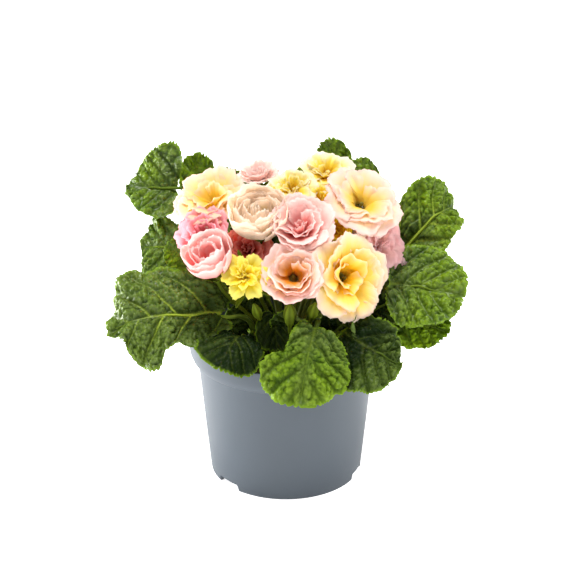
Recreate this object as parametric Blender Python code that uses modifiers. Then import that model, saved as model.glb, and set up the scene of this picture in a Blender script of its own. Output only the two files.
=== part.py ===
"""A double-flowered primrose in a round plastic nursery pot.

The plant stands in a plug of potting soil.  Each leaf is one object: a thin arched blade fused to its
stalk, which stands in a plain hole in the soil.  Each bloom is two objects: its petals, fused at the
root, and below them the green calyx on a flower stalk, which stands in a hole of its own.

The tables are in millimetres, and MM turns them into metres.  +Z is up, the front of the plant faces
-Y, and the origin is the centre of the ring that the pot stands on.
"""

import math

import bmesh
import bpy
import numpy as np

MM = 0.001
GAP = 0.3  # clearance between pieces that rest on or in each other

# The pot: a thin wall that steps out into a band below the rim, on a ring with three drain notches.
POT_HEIGHT = 79.5
POT_FOOT_RADIUS = 41.0
POT_BODY_RADIUS = 47.4  # under the band
POT_RIM_RADIUS = 52.5
POT_BAND_HEIGHT = 12.5
POT_BAND_DRAFT = 1.0  # how much narrower the band is at its shoulder than at the lip
POT_SHOULDER_DROP = 3.4  # height of the rounded shoulder under the band
POT_SHOULDER_IN = 1.6  # how far the shoulder runs in
POT_LIP_ROUND = 1.0
POT_LIP_FLAT = 0.3
POT_WALL = 1.2
POT_FLOOR_UNDERSIDE = 4.6
POT_FLOOR_TOP = 6.0
POT_STEPS = 32
FOOT_CHAMFER = 0.9
FOOT_WIDTH = 2.2
NOTCH_HEIGHT = 3.8
NOTCH_WIDTH = 18.0
NOTCH_TOP_SHARE = 0.76
NOTCH_AZIMUTHS = (-49.0, 71.0, 191.0)  # degrees round from the front
DRAIN_HOLE_RADIUS = 4.0
DRAIN_HOLE_RING = 26.0
DRAIN_HOLES = 5
DRAIN_HOLE_SIDES = 8
CUT_THROUGH = 2.0  # how far a cutter runs past the wall that it goes through

# The soil: a plug with a low mound at the crown of the plant.
SOIL_EDGE_HEIGHT = 62.5
SOIL_CROWN_HEIGHT = 69.0
SOIL_MOUND = ((18.0, 0.8), (34.0, 3.5))  # (radius, drop below the crown) down the mound
SOIL_STEPS = 16
STEM_HOLE_BOTTOM = 57.0
STEM_SIDES = 4
STEM_HANDLE = 0.35  # length of a stem's Bezier handles, in shares of its span
STEM_LEAN = 0.25  # how far a stem leans out by its first handle, in shares of its foot's distance

# Leaves.
BLADE_THICKNESS = 0.8
LEAF_STALK_RADIUS = 1.5
LEAF_CELLS = ((12.0, 4), (19.0, 5), (30.0, 7))  # (half width up to, cells along each side of the grid)
OUTLINE_POWER = 2.35  # 2 is an ellipse, more is squarer
STALK_NOTCH_DEPTH = 0.24
STALK_NOTCH_WIDTH = 0.26  # radians
TOOTH_DEPTH = 0.05
BLADE_WAVES = 5
STALK_IN_BLADE = 0.28  # how far along the midrib a leaf's stalk can be told from the blade

# Blooms.
PETAL_THICKNESS = 0.7
PETAL_CLEFT = 0.26  # depth of the cuts between petals, in shares of a petal's length
PETAL_NOTCH = 0.07  # depth of the notch in a petal's tip
PETAL_NOTCH_WIDTH = 0.3  # in shares of half a petal's width
ROOT_SQUARE = 0.8  # size to which the middle square of an odd grid is drawn in, in cells
WHORL_STEP = 0.15  # how far up the axis each whorl's root sits over the last
STALK_RADIUS = 1.1
CALYX_RADIUS = 2.4
CALYX_LENGTH = 8.0
SEPAL_ROOT_DEPTH = 4.8  # how far below a calyx's top its sepals leave the stalk
SEPALS = 5
SEPAL_LENGTH = 7.5

# name: stalk foot (azimuth in degrees, distance from the crown), blade base, blade middle, blade tip,
# the way the upper face looks, half width, cup (radians that the sides bend up by), skew (above 0 is
# broader at the tip), wave height, phase of the waves
LEAVES = {
    "leaf_left_front": ((203, 16), (-23, -17, 96), (-62, -28, 102), (-91, -34, 96),
                        (-0.20, -0.68, 0.68), 29.0, -0.30, 0.16, 0.09, 0.4),
    "leaf_left_upper": ((124, 13), (-55, 44, 146), (-73, 46, 145), (-87, 50, 143),
                        (0.24, -0.69, 0.69), 20.5, 0.60, -0.65, 0.05, 1.2),
    "leaf_left_middle": ((157, 16), (-49, 18, 119), (-67, 21, 120), (-77, 25, 118),
                         (-0.15, -0.75, 0.60), 17.0, -0.16, 0.17, 0.07, 2.0),
    "leaf_left_young": ((190, 13), (-47, 6, 115), (-56, 5, 122), (-63, 3, 127),
                        (-0.10, -0.85, 0.50), 8.0, 0.35, 0.10, 0.06, 0.0),
    "leaf_front_left": ((232, 16), (-22, -28, 90), (-26, -42, 94), (-34, -55, 84),
                        (-0.15, -0.80, 0.58), 16.5, -0.50, 0.40, 0.07, 0.9),
    "leaf_front_inner": ((252, 11.5), (-3, -19, 99), (-5, -27, 98), (-5, -34, 87),
                         (0.05, -0.85, 0.50), 10.0, 0.20, 0.10, 0.05, 0.3),
    "leaf_front": ((285, 16), (16, -37, 101), (11, -56, 92), (7, -66, 68),
                   (0.02, -0.90, 0.42), 23.5, -0.41, 0.15, 0.08, 1.6),
    "leaf_right_front": ((305, 16), (32, -31, 91), (48, -44, 88), (60, -49, 83),
                         (0.18, -0.58, 0.80), 23.5, -0.30, -0.25, 0.07, 2.4),
    "leaf_right_low": ((340, 16), (52, -8, 87), (70, -12, 90), (85, -16, 86),
                       (0.22, -0.77, 0.60), 13.5, -0.30, -0.05, 0.07, 0.8),
    "leaf_right": ((355, 11.5), (51, 0, 107), (70, -4, 108), (92, -10, 104),
                   (0.05, -0.62, 0.78), 24.5, -0.10, 0.0, 0.07, 0.2),
    "leaf_right_upper": ((22, 11.5), (58, 30, 107), (78, 32, 133), (91, 39, 135),
                         (-0.08, -0.65, 0.76), 20.5, 0.50, 0.20, 0.06, 1.0),
    "leaf_back_right_tall": ((39, 13), (35, 46, 135), (44, 51, 147), (49, 53, 152),
                             (-0.15, -0.85, 0.50), 11.5, 0.28, 0.15, 0.05, 0.6),
    "leaf_back_tall": ((76, 13.5), (31, 58, 142), (28, 63, 152), (21, 66, 163),
                       (0.05, -0.85, 0.50), 9.0, 0.25, 0.0, 0.05, 1.9),
    "leaf_back_left_inner": ((94, 12.5), (-23, 42, 118), (-28, 54, 135), (-27, 62, 149),
                             (0.10, -0.85, 0.50), 14.0, 0.25, 0.10, 0.05, 2.6),
    "leaf_back_left_tall": ((109, 13), (-42, 58, 127), (-47, 64, 139), (-51, 66, 155),
                            (0.15, -0.90, 0.40), 10.5, 0.30, 0.0, 0.05, 0.2),
    "leaf_back_left": ((145, 17), (-38, 29, 92), (-60, 41, 98), (-79, 51, 90),
                       (-0.25, 0.20, 0.95), 18.0, -0.35, 0.05, 0.06, 0.7),
    "leaf_back_a": ((115, 17), (-13, 34, 84), (-24, 53, 89), (-33, 67, 81),
                    (-0.10, 0.30, 0.95), 18.0, -0.35, 0.05, 0.06, 1.4),
    "leaf_back_b": ((85, 17), (4, 36, 95), (8, 54, 101), (11, 68, 93),
                    (0.10, 0.30, 0.95), 18.0, -0.35, 0.05, 0.06, 2.2),
    "leaf_back_c": ((60, 17), (27, 33, 84), (42, 49, 89), (54, 62, 81),
                    (0.20, 0.25, 0.95), 18.0, -0.35, 0.05, 0.06, 0.1),
    "leaf_back_mid_left": ((130, 15.5), (-27, 33, 104), (-41, 46, 111), (-55, 58, 106),
                           (-0.20, 0.35, 0.90), 14.0, -0.35, 0.05, 0.06, 2.9),
    "leaf_back_mid": ((100, 17), (-6, 38, 106), (-9, 53, 112), (-12, 68, 105),
                      (-0.05, 0.40, 0.90), 13.5, -0.35, 0.05, 0.06, 0.9),
    "leaf_back_mid_right": ((48, 16), (26, 34, 104), (38, 48, 111), (50, 60, 104),
                            (0.20, 0.35, 0.90), 14.0, -0.35, 0.05, 0.06, 1.3),
    "leaf_back_right": ((25, 17), (44, 18, 92), (66, 27, 99), (86, 36, 91),
                        (0.25, 0.10, 0.95), 17.5, -0.35, 0.05, 0.06, 1.7),
}

# Whorls of petals, outermost first: petals, length in shares of the bloom's radius, angle from the
# bloom's axis at the root and at the tip in degrees, turn in degrees, cells along each side of the grid.
FORMS = {
    "open": ((5, 1.12, 34, 98, 0, 5), (5, 0.98, 24, 76, 36, 5), (4, 0.80, 14, 52, 20, 4),
             (3, 0.60, 8, 30, 5, 3)),
    "cup": ((5, 1.36, 66, 22, 0, 5), (4, 1.18, 56, 8, 40, 4), (4, 0.98, 42, -4, 10, 4),
            (3, 0.74, 24, -6, 60, 3)),
    "globe": ((5, 1.66, 84, -18, 0, 5), (4, 1.42, 72, -18, 40, 4), (4, 1.16, 58, -20, 15, 4),
              (3, 0.88, 40, -14, 60, 3)),
    "rosette": ((5, 1.14, 44, 88, 0, 5), (5, 0.94, 32, 64, 30, 5), (4, 0.74, 18, 40, 10, 4),
                (3, 0.56, 8, 18, 50, 3)),
}
ROOT_DEPTH = {"open": 0.52, "cup": 0.62, "globe": 0.75, "rosette": 0.50}

# name: form, colour, radius, centre of the bloom, the way it faces, turn about that axis in degrees,
# foot of the stalk (azimuth in degrees, distance from the crown)
BLOOMS = {
    "bloom_cream_left": ("open", "cream", 20.0, (-39.5, 16, 152.2), (-0.22, -0.48, 0.85), 10, (165, 6.5)),
    "bloom_cream_centre": ("globe", "cream", 14.5, (-15.5, -5, 148), (-0.02, -0.62, 0.78), 30, (230, 2.2)),
    "bloom_pink_left_upper": ("cup", "pink", 11.5, (-46, -4, 131.5), (-0.30, -0.62, 0.72), 4, (203, 8.8)),
    "bloom_pink_left": ("globe", "pink", 12.5, (-40.5, -25, 129.5), (-0.25, -0.74, 0.62), 55, (218, 8.3)),
    "bloom_pink_back": ("rosette", "pink", 10.5, (-15, 40, 156), (-0.05, -0.15, 0.98), 15, (118, 7.5)),
    "bloom_yellow_top": ("rosette", "yellow_cream", 12.5, (0.5, 24, 152.5), (0.0, -0.35, 0.94), 0, (85, 4.0)),
    "bloom_yellow_back": ("open", "yellow_cream", 13.5, (19, 40, 158), (0.15, -0.45, 0.88), 25, (78, 7.0)),
    "bloom_cream_right": ("open", "cream", 20.5, (41, 9, 151), (0.30, -0.62, 0.72), 40, (5, 6.5)),
    "bloom_pink_centre": ("cup", "pink", 16.0, (9, -13, 149), (0.05, -0.60, 0.80), 20, (300, 2.6)),
    "bloom_yellow_small": ("rosette", "yellow", 12.0, (-20, -34, 126), (-0.15, -0.80, 0.58), 5, (236, 6.5)),
    "bloom_salmon": ("cup", "salmon", 14.5, (4, -33, 124), (0.02, -0.75, 0.66), 35, (275, 6.5)),
    "bloom_yellow_right": ("open", "yellow_cream", 21.5, (33, -24, 121), (0.20, -0.86, 0.46), 0, (325, 7.5)),
    "bloom_pink_right": ("open", "pink", 14.5, (48, 11, 119), (0.60, -0.55, 0.58), 30, (20, 8.5)),
    "bloom_red_inner": ("cup", "red", 10.5, (-21, 3, 124), (-0.10, -0.85, 0.52), 15, (180, 4.2)),
}

COLOURS = {
    "cream": (0.95, 0.78, 0.55), "pink": (0.90, 0.45, 0.47), "yellow": (0.95, 0.72, 0.06),
    "yellow_cream": (0.95, 0.80, 0.35), "salmon": (0.90, 0.50, 0.38), "red": (0.30, 0.02, 0.02),
    "leaf": (0.08, 0.20, 0.03), "stalk": (0.24, 0.32, 0.06), "pot": (0.22, 0.25, 0.29),
    "soil": (0.03, 0.02, 0.015),
}


def unit(vector):
    """The vector at length 1; an array of vectors is taken row by row."""
    vector = np.asarray(vector, float)
    return vector / np.linalg.norm(vector, axis=-1, keepdims=True)


def clear_scene():
    for old in list(bpy.data.objects):
        bpy.data.objects.remove(old)


def new_collection(name):
    collection = bpy.data.collections.new(name)
    bpy.context.scene.collection.children.link(collection)
    return collection


def material(name):
    """A Principled material in one of the COLOURS, made once."""
    if name in bpy.data.materials:
        return bpy.data.materials[name]
    made = bpy.data.materials.new(name)
    made.use_nodes = True
    shader = made.node_tree.nodes["Principled BSDF"]
    shader.inputs["Base Color"].default_value = (*COLOURS[name], 1.0)
    shader.inputs["Roughness"].default_value = 0.9 if name == "soil" else 0.5
    made.diffuse_color = (*COLOURS[name], 1.0)
    return made


def add_object(name, mesh, collection):
    obj = bpy.data.objects.new(name, mesh)
    collection.objects.link(obj)
    return obj


def baked(obj, weld=False):
    """The triangulated mesh that obj's modifiers or curve settings make; weld joins loose caps."""
    graph = bpy.context.evaluated_depsgraph_get()
    mesh = bpy.data.meshes.new_from_object(obj.evaluated_get(graph))
    bm = bmesh.new()
    bm.from_mesh(mesh)
    if weld:
        bmesh.ops.remove_doubles(bm, verts=bm.verts, dist=1e-6)
        bmesh.ops.recalc_face_normals(bm, faces=bm.faces)
    bmesh.ops.triangulate(bm, faces=bm.faces)
    bm.to_mesh(mesh)
    bm.free()
    return mesh


def keep_largest(mesh):
    """Drops all but the largest connected piece of a mesh: loose scraps, and the skins of sealed hollows."""
    bm = bmesh.new()
    bm.from_mesh(mesh)
    left = set(bm.verts)
    islands = []
    while left:
        found, edge = set(), {left.pop()}
        while edge:
            found |= edge
            edge = {e.other_vert(v) for v in edge for e in v.link_edges} - found
        left -= found
        islands.append(found)
    largest = max(islands, key=len)
    bmesh.ops.delete(bm, geom=[v for v in bm.verts if v not in largest], context="VERTS")
    bm.to_mesh(mesh)
    bm.free()


def blade(name, cells, place, thickness, collection):
    """A thin blade: a square grid whose points place(s, t) puts in space, s and t from -1 to 1.

    Where place brings two edges of the square together, they are welded.
    """
    mesh = bpy.data.meshes.new(name)
    bm = bmesh.new()
    bmesh.ops.create_grid(bm, x_segments=cells[0], y_segments=cells[1], size=1.0)
    bmesh.ops.triangulate(bm, faces=bm.faces)
    flat = np.array([vert.co[:2] for vert in bm.verts])
    for vert, point in zip(bm.verts, place(flat[:, 0], flat[:, 1])):
        vert.co = point * MM
    bmesh.ops.remove_doubles(bm, verts=bm.verts, dist=1e-6)
    bm.to_mesh(mesh)
    bm.free()
    obj = add_object(name, mesh, collection)
    wall = obj.modifiers.new("thickness", "SOLIDIFY")
    wall.thickness = thickness * MM
    wall.offset = 0.0
    obj.data = baked(obj)
    obj.modifiers.clear()
    return obj


def tube(name, points, radii, collection):
    """A four-sided stem along the points, with a radius at each of them."""
    curve = bpy.data.curves.new(name, "CURVE")
    curve.dimensions = "3D"
    curve.bevel_depth = MM
    curve.bevel_resolution = 0
    curve.use_fill_caps = True
    spline = curve.splines.new("POLY")
    spline.points.add(len(points) - 1)
    for knot, point, radius in zip(spline.points, points, radii):
        knot.co = (*(np.asarray(point) * MM), 1.0)
        knot.radius = radius
    guide = add_object(name + "_path", curve, collection)
    obj = add_object(name, baked(guide, weld=True), collection)
    bpy.data.objects.remove(guide)
    return obj


def fuse(name, pieces, colour, target):
    """Joins the pieces into one solid by a Boolean union, in a node of that name."""
    first, rest = pieces[0], pieces[1:]
    others = new_collection(name + "_repeats")
    for piece in rest:
        others.objects.link(piece)
    union = first.modifiers.new("join", "BOOLEAN")
    union.operation = "UNION"
    union.operand_type = "COLLECTION"
    union.collection = others
    union.solver = "MANIFOLD"
    mesh = baked(first)
    keep_largest(mesh)
    for piece in pieces:
        bpy.data.objects.remove(piece)
    bpy.data.collections.remove(others)
    mesh.materials.clear()
    mesh.materials.append(material(colour))
    node = add_object(name, mesh, target)
    return node


def turned(name, profile, steps, colour, collection):
    """A closed (radius, height) outline turned about the Z axis."""
    mesh = bpy.data.meshes.new(name)
    points = [(radius * MM, 0.0, height * MM) for radius, height in profile]
    edges = [(i, i + 1) for i in range(len(points) - 1)]
    if profile[0][0] > 0:
        edges.append((len(points) - 1, 0))
    mesh.from_pydata(points, edges, [])
    obj = add_object(name, mesh, collection)
    screw = obj.modifiers.new("turn", "SCREW")
    screw.steps = screw.render_steps = steps
    screw.axis = "Z"
    screw.use_merge_vertices = True
    screw.merge_threshold = 0.00001
    obj.data = baked(obj, weld=True)
    obj.modifiers.clear()
    obj.data.materials.append(material(colour))
    return obj


def cut(obj, cutters):
    """Takes the cutters, a collection, out of obj."""
    hole = obj.modifiers.new("cut", "BOOLEAN")
    hole.operation = "DIFFERENCE"
    hole.operand_type = "COLLECTION"
    hole.collection = cutters
    hole.solver = "EXACT"


def cylinder(name, sides, radius, low, high, centre, collection, top_share=1.0):
    """An upright cylinder cutter, or a cone whose top has top_share of the radius."""
    mesh = bpy.data.meshes.new(name)
    bm = bmesh.new()
    bmesh.ops.create_cone(bm, cap_ends=True, segments=sides, radius1=radius * MM,
                          radius2=radius * top_share * MM, depth=(high - low) * MM)
    bm.to_mesh(mesh)
    bm.free()
    obj = add_object(name, mesh, collection)
    obj.location = (centre[0] * MM, centre[1] * MM, (low + high) / 2 * MM)
    obj.hide_render = True
    obj.display_type = "WIRE"
    return obj


# ---------------------------------------------------------------- pot and soil


def wall_radius(height):
    """Outer radius of the pot's tapered body at a height."""
    share = height / (POT_HEIGHT - POT_BAND_HEIGHT)
    return POT_FOOT_RADIUS + (POT_BODY_RADIUS - POT_FOOT_RADIUS) * share


def build_pot(collection, cutters):
    shoulder = POT_HEIGHT - POT_BAND_HEIGHT
    ledge = shoulder - 2 * POT_WALL
    band = POT_RIM_RADIUS - POT_BAND_DRAFT
    outline = [
        (0.0, POT_FLOOR_TOP),
        (wall_radius(POT_FLOOR_TOP) - POT_WALL, POT_FLOOR_TOP),
        (wall_radius(ledge) - POT_WALL, ledge + POT_WALL / 2),
        (band - POT_SHOULDER_IN - POT_WALL, shoulder + POT_WALL / 2),
        (band - POT_WALL, shoulder + POT_SHOULDER_DROP),
        (POT_RIM_RADIUS - POT_WALL, POT_HEIGHT),
        (POT_RIM_RADIUS - POT_LIP_FLAT, POT_HEIGHT),
        (POT_RIM_RADIUS, POT_HEIGHT - POT_LIP_ROUND),
        (band, shoulder + POT_SHOULDER_DROP),
        (band - POT_SHOULDER_IN, shoulder),
        (wall_radius(ledge), ledge),
        (wall_radius(FOOT_CHAMFER), FOOT_CHAMFER),
        (POT_FOOT_RADIUS - FOOT_CHAMFER, 0.0),
        (POT_FOOT_RADIUS - FOOT_WIDTH, 0.0),
        (wall_radius(POT_FLOOR_UNDERSIDE) - FOOT_WIDTH, POT_FLOOR_UNDERSIDE),
        (0.0, POT_FLOOR_UNDERSIDE),
    ]
    pot = turned("pot", outline, POT_STEPS, "pot", collection)
    for number, azimuth in enumerate(NOTCH_AZIMUTHS):
        angle = math.radians(azimuth)
        middle = (POT_FOOT_RADIUS * math.sin(angle), -POT_FOOT_RADIUS * math.cos(angle))
        notch = cylinder(f"notch_{number}", 4, NOTCH_WIDTH / math.sqrt(2), -NOTCH_HEIGHT, NOTCH_HEIGHT,
                         middle, cutters["pot"], top_share=NOTCH_TOP_SHARE)
        notch.rotation_euler = (0, 0, angle + math.pi / 4)
    for number in range(DRAIN_HOLES):
        angle = 2 * math.pi * number / DRAIN_HOLES
        centre = (DRAIN_HOLE_RING * math.cos(angle), DRAIN_HOLE_RING * math.sin(angle))
        cylinder(f"drain_{number}", DRAIN_HOLE_SIDES, DRAIN_HOLE_RADIUS, POT_FLOOR_UNDERSIDE - CUT_THROUGH,
                 POT_FLOOR_TOP + CUT_THROUGH, centre, cutters["pot"])
    cut(pot, cutters["pot"])
    return pot


def build_soil(collection, cutters, feet):
    """The plug of soil, with a plain hole for the foot of every stem: feet is (x, y, radius)."""
    outline = [
        (0.0, SOIL_CROWN_HEIGHT),
        *((radius, SOIL_CROWN_HEIGHT - drop) for radius, drop in SOIL_MOUND),
        (wall_radius(SOIL_EDGE_HEIGHT) - POT_WALL - GAP, SOIL_EDGE_HEIGHT),
        (wall_radius(POT_FLOOR_TOP + GAP) - POT_WALL - GAP, POT_FLOOR_TOP + GAP),
        (0.0, POT_FLOOR_TOP + GAP),
    ]
    soil = turned("soil", outline, SOIL_STEPS, "soil", collection)
    for number, (x, y, radius) in enumerate(feet):
        cylinder(f"hole_{number}", STEM_SIDES, (radius + GAP) / math.cos(math.pi / STEM_SIDES),
                 STEM_HOLE_BOTTOM, SOIL_CROWN_HEIGHT + CUT_THROUGH, (x, y), cutters["soil"])
    cut(soil, cutters["soil"])
    return soil


# ---------------------------------------------------------------- leaves


def concentric(s, t):
    """Turns a square's points into a disc's: distance from the centre, and angle."""
    rho = np.maximum(np.abs(s), np.abs(t))
    wide = np.abs(s) >= np.abs(t)
    safe = np.where(rho == 0, 1.0, np.where(wide, s, t))
    angle = np.where(wide, np.pi / 4 * t / safe, np.pi / 2 - np.pi / 4 * s / safe)
    angle = np.where(np.where(wide, s, t) < 0, angle + np.pi, angle)
    return rho, angle


def blade_outline(angle):
    """Distance of a leaf's edge from the blade's middle, 1 at the tip: a squarish round with a notch
    where the stalk joins."""
    rounded = (np.abs(np.cos(angle)) ** OUTLINE_POWER + np.abs(np.sin(angle)) ** OUTLINE_POWER)
    from_stalk = np.abs((angle % (2 * np.pi)) - np.pi)
    notch = 1 - STALK_NOTCH_DEPTH * np.exp(-((from_stalk / STALK_NOTCH_WIDTH) ** 2))
    return rounded ** (-1 / OUTLINE_POWER) * notch


def midrib(leaf, along):
    """Point, forward, sideways and upper-face vectors of a blade's midrib; along runs from 0 to 1."""
    _, base, middle, tip, face, *_ = leaf
    base, middle, tip = (np.asarray(p, float) for p in (base, middle, tip))
    handle = 2 * middle - (base + tip) / 2
    t = np.atleast_1d(along)[:, None]
    point = (1 - t) ** 2 * base + 2 * t * (1 - t) * handle + t ** 2 * tip
    forward = unit(2 * (1 - t) * (handle - base) + 2 * t * (tip - handle))
    side = unit(np.cross(np.asarray(face, float), forward))
    return point, forward, side, np.cross(forward, side)


def leaf_surface(leaf, rho, angle, radius):
    """Points of a blade at (rho, angle) of a disc, whose edge is at radius."""
    half_width, cup, skew, wave, phase = leaf[5:]
    ahead = rho * radius * np.cos(angle)
    across = rho * radius * np.sin(angle) * (1 + skew * ahead) * half_width
    point, _, side, up = midrib(leaf, 0.5 + 0.5 * ahead)
    bend = cup / half_width
    sideways = np.sin(bend * across) / bend
    lift = (1 - np.cos(bend * across)) / bend
    lift = lift + wave * half_width * rho ** 3 * np.sin(BLADE_WAVES * angle + phase)
    return point + side * sideways[:, None] + up * lift[:, None]


def foot_of(leaf):
    """(x, y) where a leaf's stalk enters the soil."""
    azimuth, distance = leaf[0]
    return distance * math.cos(math.radians(azimuth)), distance * math.sin(math.radians(azimuth))


def stem_path(foot, end, arrive, count):
    """Points along a smooth stem from the soil to end, which it meets in the direction arrive."""
    start = np.array([foot[0], foot[1], STEM_HOLE_BOTTOM + GAP])
    neck = np.array([foot[0], foot[1], SOIL_CROWN_HEIGHT + 0.5])
    end = np.asarray(end, float)
    rise = STEM_HANDLE * np.linalg.norm(end - np.array([foot[0], foot[1], SOIL_CROWN_HEIGHT]))
    out = np.array([foot[0] * STEM_LEAN, foot[1] * STEM_LEAN, rise])
    handles = (neck, neck + out, end - unit(arrive) * rise, end)
    t = np.linspace(0, 1, count)[:, None]
    weights = ((1 - t) ** 3, 3 * t * (1 - t) ** 2, 3 * t ** 2 * (1 - t), t ** 3)
    return np.vstack([start, sum(w * h for w, h in zip(weights, handles))])


def build_leaf(name, leaf, work, target):
    cells = next(count for half_width, count in LEAF_CELLS if leaf[5] <= half_width)

    def place(s, t):
        rho, angle = concentric(s, t)
        tooth = np.where(np.isclose(rho, 1.0), np.cos(2 * cells * (angle + np.pi / 4)), 0.0)
        return leaf_surface(leaf, rho, angle, blade_outline(angle) * (1 + TOOTH_DEPTH * tooth))

    surface = blade(name + "_blade", (cells, cells), place, BLADE_THICKNESS, work)
    point, forward, _, _ = midrib(leaf, np.array([0.02, STALK_IN_BLADE]))
    path = np.vstack([stem_path(foot_of(leaf), point[0], forward[0], 5), point[1]])
    radii = [LEAF_STALK_RADIUS] * 5 + [LEAF_STALK_RADIUS * 0.85, LEAF_STALK_RADIUS * 0.5]
    stem = tube(name + "_stem", path, radii, work)
    return fuse(name, [stem, surface], "leaf", target)


# ---------------------------------------------------------------- blooms


def bloom_frame(bloom):
    """Root, and the side, other side and axis directions of a bloom."""
    form, _, radius, centre, facing, turn, _ = bloom
    axis = unit(facing)
    side = unit(np.cross(axis, (0.0, 0.0, 1.0)))
    other = np.cross(axis, side)
    c, s = math.cos(math.radians(turn)), math.sin(math.radians(turn))
    root = np.asarray(centre, float) - axis * radius * ROOT_DEPTH[form]
    return root, side * c + other * s, other * c - side * s, axis


def whorl_surface(bloom, whorl, rho, angle):
    """Points of a whorl of petals at (rho, angle) of a disc.

    A whorl is a cup whose wall bends evenly from one angle off the axis to another.  Its edge is cut
    into petals, each with a shallow notch at its tip.
    """
    petals, length, start, end, turn, _ = whorl
    radius = bloom[2]
    root, side, other, axis = bloom_frame(bloom)
    v = 2 * (((angle / (2 * np.pi) + 0.125) * petals) % 1.0) - 1
    notch = PETAL_NOTCH * np.exp(-((v / PETAL_NOTCH_WIDTH) ** 2))
    reach = rho * (1 - rho * (PETAL_CLEFT * np.abs(v) ** 4 + notch))
    azimuth = angle + math.radians(turn)
    radial = np.cos(azimuth)[:, None] * side + np.sin(azimuth)[:, None] * other
    a0, a1 = math.radians(start), math.radians(end)
    slope = a0 + (a1 - a0) * reach
    out = length * (math.cos(a0) - np.cos(slope)) / (a1 - a0)
    rise = length * (np.sin(slope) - math.sin(a0)) / (a1 - a0)
    return root + radius * (out[:, None] * radial + rise[:, None] * axis)


def build_petals(name, bloom, work, target):
    """A bloom's whorls of petals, which meet at its root."""
    form, colour = bloom[:2]
    axis = unit(bloom[4])
    pieces = []
    for number, whorl in enumerate(FORMS[form]):
        step = WHORL_STEP * number * axis
        cells = whorl[5]
        # An odd grid has a square at its middle, which is drawn in close round the root.
        inset = ROOT_SQUARE / cells if cells % 2 else 0.0

        def place(s, t, whorl=whorl, step=step, inset=inset):
            rho, angle = concentric(s, t)
            return whorl_surface(bloom, whorl, (rho - inset) / (1 - inset), angle) + step

        pieces.append(blade(f"{name}_{number}", (cells, cells), place, PETAL_THICKNESS, work))
    return fuse(name, pieces, colour, target)


def build_stalk(name, bloom, work, target):
    """The calyx under a bloom, a star of five sepals, on its stalk."""
    root, side, other, axis = bloom_frame(bloom)
    top = root - axis * (PETAL_THICKNESS / 2 + GAP)
    bottom = top - axis * CALYX_LENGTH
    path = np.vstack([stem_path(stalk_foot(bloom), bottom, axis, 4), top - axis * 0.5])
    stem = tube(name + "_stem", path, [STALK_RADIUS] * 5 + [CALYX_RADIUS], work)
    mesh = bpy.data.meshes.new(name + "_sepals")
    bm = bmesh.new()
    bmesh.ops.create_cone(bm, cap_ends=True, segments=2 * SEPALS, radius1=1.0, radius2=1.0, depth=2.0)
    bmesh.ops.triangulate(bm, faces=bm.faces)
    for vert in bm.verts:
        x, y, level = vert.co
        around = math.atan2(y, x)
        if level > 0:
            out = SEPAL_LENGTH if round(around / math.pi * SEPALS) % 2 else CALYX_RADIUS
            rise = 0.0
        else:
            out = STALK_RADIUS
            rise = -SEPAL_ROOT_DEPTH
        vert.co = (top + out * (math.cos(around) * side + math.sin(around) * other) + rise * axis) * MM
    bmesh.ops.recalc_face_normals(bm, faces=bm.faces)
    bm.to_mesh(mesh)
    bm.free()
    return fuse(name, [stem, add_object(mesh.name, mesh, work)], "stalk", target)


def stalk_foot(bloom):
    """(x, y) of the foot of a flower stalk in the soil."""
    azimuth, distance = bloom[6]
    return distance * math.cos(math.radians(azimuth)), distance * math.sin(math.radians(azimuth))


def main():
    clear_scene()
    target = new_collection("potted_primrose")
    work = new_collection("work")
    cutters = {"pot": new_collection("pot_cutters"), "soil": new_collection("soil_cutters")}
    for name, leaf in LEAVES.items():
        build_leaf(name, leaf, work, target)
    for name, bloom in BLOOMS.items():
        build_petals(name, bloom, work, target)
        build_stalk(name.replace("bloom", "stalk"), bloom, work, target)
    bpy.data.collections.remove(work)
    feet = [(*foot_of(leaf), LEAF_STALK_RADIUS) for leaf in LEAVES.values()]
    feet += [(*stalk_foot(bloom), STALK_RADIUS) for bloom in BLOOMS.values()]
    build_soil(target, cutters, feet)
    build_pot(target, cutters)


main()
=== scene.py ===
"""The looks of a double-flowered primrose in a nursery pot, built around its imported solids.

Every piece is a surface computed as whole arrays of points.  One that stands for a solid has its sizes,
with the veins, puckers, frills and petals that the solid leaves out.  Sizes are in millimetres.
"""

from collections import namedtuple
from functools import partialmethod
from math import cos, pi, radians, sin

import bpy
import numpy as np
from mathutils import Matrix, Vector


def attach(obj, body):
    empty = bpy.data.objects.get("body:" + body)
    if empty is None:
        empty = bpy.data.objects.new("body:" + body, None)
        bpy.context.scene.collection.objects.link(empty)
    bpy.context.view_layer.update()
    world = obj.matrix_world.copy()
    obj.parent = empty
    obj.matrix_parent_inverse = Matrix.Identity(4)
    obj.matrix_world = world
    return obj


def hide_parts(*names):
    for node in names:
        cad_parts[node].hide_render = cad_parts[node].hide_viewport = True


MM = 0.001
TURN = 2 * pi
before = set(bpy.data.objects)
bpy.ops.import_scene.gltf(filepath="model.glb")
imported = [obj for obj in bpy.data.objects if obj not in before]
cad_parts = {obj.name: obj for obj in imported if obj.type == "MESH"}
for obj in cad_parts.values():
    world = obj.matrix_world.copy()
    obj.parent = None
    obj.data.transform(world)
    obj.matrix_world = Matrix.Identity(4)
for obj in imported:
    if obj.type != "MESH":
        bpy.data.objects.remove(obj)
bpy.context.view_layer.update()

# ---- sizes shared with the solids

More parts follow.
